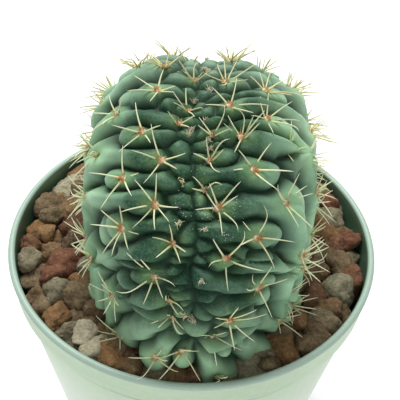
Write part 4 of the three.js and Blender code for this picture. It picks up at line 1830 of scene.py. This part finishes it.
@dataclass
class Gravel:
    """Loose lava stones over a bed of grit, settled round the plant inside the pot."""

    shape: CrestShape
    palette: Palette
    bed_level: float = 71.5
    bottom: float = 64.0
    edge: float = 46.4
    highest: float = 78.6
    # The stones' cut and the bed's lumps
    planes: int = 15
    cuts: Pair = (0.76, 1.05)
    flattest: tuple[float, ...] = (0.95, 0.82, 0.68)
    roundest: tuple[float, ...] = (1.25, 1.0, 0.86)
    tilt: float = 0.35
    tone_bias: Pair = (1.3, 1.7)
    palest: float = 0.84
    roughness: tuple[Pair, ...] = ((0.06, 4.0), (0.04, 1.7), (0.02, 0.9))
    lumps: tuple[Pair, ...] = ((0.7, 5.0), (0.4, 1.8))
    bed_rings: int = 60
    bed_spokes: int = 160
    # How the stones settle
    settling_steps: int = 220
    contact: float = 0.84
    push: float = 0.28
    sink: float = 0.05
    start_ring: Pair = (0.35, 1.0)
    start_gap: float = 4.0
    start_height: float = 5.0
    wall_gap: float = 1.3
    plant_gap: float = 2.4
    plant_share: float = 0.6
    plant_size: float = 38.0
    plant_push: float = 12.0
    rim_gap: float = 1.4
    rim_share: float = 0.92
    lowest_share: float = 0.2
    highest_share: float = 0.72
    chosen_share: float = 0.78

    def build(self) -> None:
        """Makes and dresses the bed, the stones and the grit."""
        self.make_bed()
        self.make_stones("stones", 145, (3.3, 5.0), 3, Seed.STONES, CHOSEN_STONES)
        self.make_stones("small_stones", 170, (1.7, 2.7), 2, Seed.SMALL_STONES)
        self.make_stones("grit", 420, (0.8, 1.5), 1, Seed.GRIT)

    def make_bed(self) -> None:
        """The crumbled bed under the stones: a disc of rings with lumps, closed below by a flat face."""
        rings, spokes = self.bed_rings, self.bed_spokes
        middle, drawn_in = 0.02, 0.985
        radius = np.linspace(middle, 1, rings) * self.edge
        flat = round_rings(radius[:, None], self.bed_level, spokes)
        top = flat + add_ripples(flat, self.lumps, Seed.BED)[..., None] * np.array([0, 0, 1.0])
        wall = flat[-1:] * np.array([drawn_in, drawn_in, 0]) + np.array([0, 0, self.bottom])
        ends = [[0, 0, self.bed_level], [0, 0, self.bottom]]
        points = np.concatenate([top.reshape(-1, 3), wall.reshape(-1, 3), ends])
        piece = make_piece("gravel_bed", points, *ring_faces(rings + 1, spokes, flip=True))
        dress(piece, self.palette.soil, Slot.GRAVEL, "gravel")

    def settle(self, radius: Array, fixed: Array, draw: np.random.Generator) -> Array:
        """Places of stones that lie apart: balls that push each other aside and sink to the bed.

        Args:
            radius: every ball's radius, those that stay put first.
            fixed: the places of those that stay put.
            draw: for the random start.

        Returns:
            The balls' places.
        """
        count, kept = len(radius), len(fixed)
        angle = draw.uniform(0, TURN, count)
        ring = np.sqrt(draw.uniform(*self.start_ring, count)) * (self.edge - self.start_gap)
        level = self.bed_level + draw.uniform(0, self.start_height, count)
        place = np.stack([ring * np.cos(angle), ring * np.sin(angle), level], 1)
        middle = np.array(self.shape.centre)
        # A ball never pushes itself, because it counts as this far from its own place
        itself = np.eye(count) * 99
        for _ in range(self.settling_steps):
            place[:kept] = fixed
            gap = place[:, None] - place[None]
            distance = np.linalg.norm(gap, axis=-1) + itself
            overlap = np.clip((radius[:, None] + radius[None]) * self.contact - distance, 0, None)
            place += (gap / distance[..., None] * overlap[..., None]).sum(1) * self.push
            place[:, 2] -= self.sink
            out = place - middle
            want = 1 + (self.plant_gap + radius * self.plant_share) / self.plant_size
            inside = np.clip(want - self.shape.measure(out), 0, None)[:, None]
            place[:, :2] += unit(out[:, :2]) * inside * self.plant_push
            reach = np.hypot(place[:, 0], place[:, 1])
            widest = self.edge + self.rim_gap - radius * self.rim_share
            place[:, :2] *= np.minimum(1, widest / reach)[:, None]
            lowest = self.bed_level + self.lowest_share * radius
            place[:, 2] = np.clip(place[:, 2], lowest, self.highest - self.highest_share * radius)
        return place

    def make_stones(self, name: str, count: int, sizes: Pair, detail: int, seed: int,
                    chosen: tuple[tuple[float, ...], ...] = ()) -> None:
        """Stones cut by random planes, as far from their middles as the nearest plane, then roughened.

        Args:
            name: the piece's name.
            count: how many stones are settled besides the chosen ones.
            sizes: the least and the largest radius, in millimetres.
            detail: how often the starting ball's faces are divided.
            seed: for every random draw.
            chosen: X, Y, radius and tone of stones that stand out.
        """
        draw = np.random.default_rng(seed)
        given = np.array(chosen, float).reshape(-1, 4)
        radius = np.concatenate([given[:, 2], draw.uniform(*sizes, count)])
        fixed = np.column_stack([given[:, :2], self.highest - self.chosen_share * given[:, 2]])
        place = self.settle(radius, fixed, draw)
        directions, faces = ball_mesh(detail)
        number = len(radius)
        normals = unit(draw.normal(size=(number, self.planes, 3)))
        offsets = draw.uniform(*self.cuts, (number, self.planes))
        facing = np.einsum("vc,spc->svp", directions, normals)
        least, far, sharpness, longest = 0.05, 9, 10, 1.2
        reach = np.where(facing > least, offsets[:, None] / np.maximum(facing, least), far)
        soft = np.minimum((reach ** -sharpness).sum(-1) ** (-1 / sharpness), longest)
        stretch = draw.uniform(self.flattest, self.roundest, (number, 3))
        shape = directions[None] * soft[..., None] * stretch[:, None]
        turn = draw.uniform(0, TURN, number)
        tilt = draw.normal(0, self.tilt, number)
        cosine, sine = np.cos(turn)[:, None], np.sin(turn)[:, None]
        x, y, z = shape[..., 0], shape[..., 1], shape[..., 2]
        lean, rise = np.sin(tilt)[:, None], np.cos(tilt)[:, None]
        y, z = y * rise - z * lean, y * lean + z * rise
        shape = np.stack([x * cosine - y * sine, x * sine + y * cosine, z], -1) * radius[:, None, None]
        points = place[:, None] + shape
        rough = add_ripples(points, self.roughness, seed + 1)
        points += unit(shape) * (rough * radius[:, None])[..., None]
        outward = np.hypot(points[..., 0], points[..., 1])
        points[..., :2] *= np.minimum(1, (self.edge + self.wall_gap) / outward)[..., None]
        triangles = repeat_faces(faces, number, len(directions))
        tone = np.concatenate([given[:, 3], draw.beta(*self.tone_bias, count) * self.palest])
        values = {"pick": np.repeat(tone, len(directions))}
        piece = make_piece(name, points.reshape(-1, 3), np.empty((0, 4), int), triangles, values)
        dress(piece, self.palette.stone, Slot.GRAVEL)


def ball_mesh(detail: int) -> tuple[Array, Array]:
    """Directions and triangles of a ball made by dividing an icosahedron's faces.

    Args:
        detail: how often each triangle is divided in four.

    Returns:
        Unit vectors and corner numbers.
    """
    g = (1 + math.sqrt(5)) / 2
    points = unit(np.array([[-1, g, 0], [1, g, 0], [-1, -g, 0], [1, -g, 0], [0, -1, g], [0, 1, g],
                            [0, -1, -g], [0, 1, -g], [g, 0, -1], [g, 0, 1], [-g, 0, -1], [-g, 0, 1]]))
    faces = np.array([[0, 11, 5], [0, 5, 1], [0, 1, 7], [0, 7, 10], [0, 10, 11], [1, 5, 9], [5, 11, 4],
                      [11, 10, 2], [10, 7, 6], [7, 1, 8], [3, 9, 4], [3, 4, 2], [3, 2, 6], [3, 6, 8],
                      [3, 8, 9], [4, 9, 5], [2, 4, 11], [6, 2, 10], [8, 6, 7], [9, 8, 1]])
    for _ in range(detail):
        edges = np.sort(np.concatenate([faces[:, [0, 1]], faces[:, [1, 2]], faces[:, [2, 0]]]), axis=1)
        unique, where = np.unique(edges, axis=0, return_inverse=True)
        where = where.reshape(-1) + len(points)
        ab, bc, ca = np.split(where, 3)
        points = np.concatenate([points, unit(points[unique[:, 0]] + points[unique[:, 1]])])
        a, b, c = faces.T
        faces = np.concatenate([np.stack(corners, 1) for corners in
                                ((a, ab, ca), (b, bc, ab), (c, ca, bc), (ab, bc, ca))])
    return points, faces


# The pot

@dataclass
class Pot:
    """The round tapered pot, turned from a profile with a collar and a rolled rim."""

    palette: Palette
    height: float = 80.0
    rim_radius: float = 50.0
    collar_radius: float = 49.2
    collar_height: float = 9.0
    step_height: float = 12.0
    wall_top: float = 47.6
    taper: float = 9.0
    thickness: float = 1.3
    lip: float = 0.95
    floor: float = 2.0
    sides: int = 224
    drains: int = 6
    drain_radius: float = 3.0
    drain_circle: float = 24.0
    drain_sides: int = 24
    mouth: float = 48.1

    def wall(self, level: float | Array) -> float | Array:
        """Outside radius of the tapered wall at a level."""
        return self.wall_top - (self.height - self.step_height - level) * math.tan(math.radians(self.taper))

    def profile(self) -> Array:
        """Radius and level of the section, from the middle below, round the rim, to the middle inside.

        Returns:
            One row of radius and level for each corner of the section.
        """
        top = self.height
        step, collar = top - self.step_height, top - self.collar_height
        base = self.wall(0)
        outside = [(0, 0), (12, 0), (30, 0), (base - 1, 0), (base - 0.3, 0.3), (base, 1)]
        wall = [(self.wall(level), level) for level in np.linspace(3, step - 0.6, 9)]
        shoulder = [(self.wall(step), step), (self.wall(step) + 0.15, collar - 0.6),
                    (self.collar_radius - 0.9, collar - 0.12), (self.collar_radius - 0.25, collar + 0.1),
                    (self.collar_radius, collar + 0.6), (self.collar_radius + 0.05, collar + 3),
                    (self.collar_radius + 0.1, top - 2.2), (self.rim_radius - 0.35, top - 1.5)]
        bend = np.radians(np.linspace(-35, 180, 11))
        lip = [(self.rim_radius - self.lip * (1 - math.cos(a)), top - self.lip * (1 - math.sin(a)))
               for a in bend]
        inside = [(self.mouth, top - 1.6), (48.0, top - 3), (47.8, top - 6), (47.2, collar + 0.4)]
        inner = [(self.wall(level) - self.thickness, level) for level in np.linspace(step - 1, 4, 9)]
        corner = self.wall(2) - self.thickness
        bottom = [(corner - 0.3, 2.6), (corner - 1, self.floor),
                  (30, self.floor), (12, self.floor), (0, self.floor)]
        return np.array(outside + wall + shoulder + lip + inside + inner + bottom)

    def build(self) -> None:
        """Turns the profile, cuts the drainage holes and dresses the pot and the soil."""
        body = self.profile()[1:-1]
        rings = round_rings(body[:, :1], body[:, 1:], self.sides)
        points = np.concatenate([rings.reshape(-1, 3), [[0, 0, 0], [0, 0, self.floor]]])
        piece = make_piece("pot_shell", points, *ring_faces(len(body), self.sides))
        self.cut_drains(piece)
        self.mark_zones(piece)
        dress(piece, self.palette.plastic, Slot.POT, "pot")
        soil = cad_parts["soil"]
        soil.data.materials.clear()
        soil.data.materials.append(self.palette.soil)

    def cut_drains(self, piece: bpy.types.Object) -> None:
        """Cuts the round drainage holes through the floor, and removes the cutters.

        Args:
            piece: the pot.
        """
        low, high = -2.0, self.floor + 2
        rings = round_rings(np.full((2, 1), self.drain_radius), np.array([[low], [high]]), self.drain_sides)
        hole = np.concatenate([rings.reshape(-1, 3), [[0, 0, low], [0, 0, high]]])
        for i in range(self.drains):
            turn = i * TURN / self.drains
            middle = np.array([self.drain_circle * math.cos(turn), self.drain_circle * math.sin(turn), 0])
            cutter = make_piece("cutter", middle + hole, *ring_faces(2, self.drain_sides))
            cut = piece.modifiers.new("drain", "BOOLEAN")
            cut.operation = "DIFFERENCE"
            cut.object = cutter
            with bpy.context.temp_override(object=piece, active_object=piece):
                bpy.ops.object.modifier_apply(modifier=cut.name)
            bpy.data.objects.remove(cutter)

    def mark_zones(self, piece: bpy.types.Object) -> None:
        """Stores how much each corner gets of the rim's painted shade and reflection, the inside's painted
        shade with soil stain, and the base's painted light.

        Args:
            piece: the pot.
        """
        mesh = piece.data
        flat = np.empty(len(mesh.vertices) * 3, np.float32)
        mesh.vertices.foreach_get("co", flat)
        points = flat.reshape(-1, 3) / MM
        reach = np.hypot(points[:, 0], points[:, 1])
        level = points[:, 2]
        high = smooth_step(self.height - 1.5, self.height - 0.7, level)
        # Painted shade and reflection: the rim's share, on the lip's top and roll.
        rim = high * smooth_step(self.mouth - 0.2, self.mouth + 0.05, reach)
        inner = 1 - smooth_step(self.mouth - 0.05, self.mouth + 0.15, reach)
        middle = self.wall(np.minimum(level, self.height - self.step_height)) - self.thickness / 2
        # Painted shade with some soil stain: the inner wall and the top of the floor.
        shade_and_stain_inside = np.where(level > self.height - self.step_height, inner, (reach < middle) & (level > 1.5))
        # Painted light: the wall's share of the paler base, rising toward its foot.
        fade = 1 - smooth_step(self.height - 45, self.height - 5, level)
        for key, numbers in (("rim", rim), ("inside", shade_and_stain_inside), ("fade", fade)):
            store_values(mesh, key, numbers)
        mesh.shade_smooth()


# The studio

@dataclass
class Studio:
    """Floor, soft lights and the camera."""

    elevation: float = 42.43
    roll: float = 2.98
    lens: float = 68.44
    distance: float = 220.0
    aim: Place = (1.54, 13.62, 80.0)
    floor_size: float = 3000.0
    floor_glow: float = 0.12
    surround: float = 0.45
    key: tuple[Place, float, float] = ((-0.12, 0.38, 0.85), 0.45, 9.0)
    fill: tuple[Place, float, float] = ((0.15, -0.85, 0.3), 0.6, 2.2)
    lit_place: Place = (0.0, 0.0, 0.09)

    def build(self) -> None:
        """Sets the stage."""
        self.make_camera()
        self.make_floor()
        self.make_lights()
        settings = bpy.context.scene.view_settings
        settings.view_transform = "Standard"
        settings.exposure = 0.0

    def make_camera(self) -> None:
        """A camera at the photograph's angle, turned a little about its own axis."""
        tilt, roll = math.radians(self.elevation), math.radians(self.roll)
        back = Vector((0, -math.cos(tilt), math.sin(tilt)))
        right = Vector((1, 0, 0))
        up = back.cross(right)
        across = right * math.cos(roll) + up * math.sin(roll)
        upright = up * math.cos(roll) - right * math.sin(roll)
        data = bpy.data.cameras.new("camera")
        data.sensor_width = 36
        data.lens = self.lens
        data.clip_start, data.clip_end = 0.01, 20
        camera = bpy.data.objects.new("camera", data)
        bpy.context.scene.collection.objects.link(camera)
        turn = Matrix((across, upright, back)).transposed().to_4x4()
        camera.matrix_world = Matrix.Translation((Vector(self.aim) + back * self.distance) * MM) @ turn
        bpy.context.scene.camera = camera

    def make_floor(self) -> None:
        """A plain pale floor."""
        size = self.floor_size
        corners = np.array([[-size, -size, 0], [size, -size, 0], [size, size, 0], [-size, size, 0]])
        floor = make_piece("floor", corners, np.array([[0, 1, 2, 3]]))
        nodes = Finish("floor_paint")
        paint = finish_material(nodes, Base_Color=(0.9, 0.9, 0.9), Roughness=0.9,
                                Emission_Color=(1.0, 1.0, 1.0), Emission_Strength=self.floor_glow)
        floor.data.materials.append(paint)

    def make_lights(self) -> None:
        """A white surround, a large soft key from above and behind, and a weaker fill from the front."""
        world = bpy.data.worlds.new("surround")
        bpy.context.scene.world = world
        world.use_nodes = True
        sky = world.node_tree.nodes["Background"]
        sky.inputs["Color"].default_value = (1, 1, 1, 1)
        sky.inputs["Strength"].default_value = self.surround
        self.add_light("key", *self.key)
        self.add_light("fill", *self.fill)

    def add_light(self, name: str, place: Place, size: float, power: float) -> None:
        """A square area light that faces the plant.

        Args:
            name: the light's name.
            place: where it stands, in metres.
            size: its side, in metres.
            power: in watts.
        """
        data = bpy.data.lights.new(name, "AREA")
        data.size = size
        data.energy = power
        light = bpy.data.objects.new(name, data)
        bpy.context.scene.collection.objects.link(light)
        light.location = place
        towards = Vector(self.lit_place) - Vector(place)
        light.rotation_mode = "QUATERNION"
        light.rotation_quaternion = towards.to_track_quat("-Z", "Y")


def main() -> None:
    """Builds the studio, the plant, the gravel and the pot."""
    logging.basicConfig(level=logging.INFO, format="%(message)s")
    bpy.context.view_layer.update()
    palette = Palette()
    shape = CrestShape()
    Studio().build()
    Crest(shape, palette).build()
    Gravel(shape, palette).build()
    Pot(palette).build()


if __name__ == "__main__":
    main()
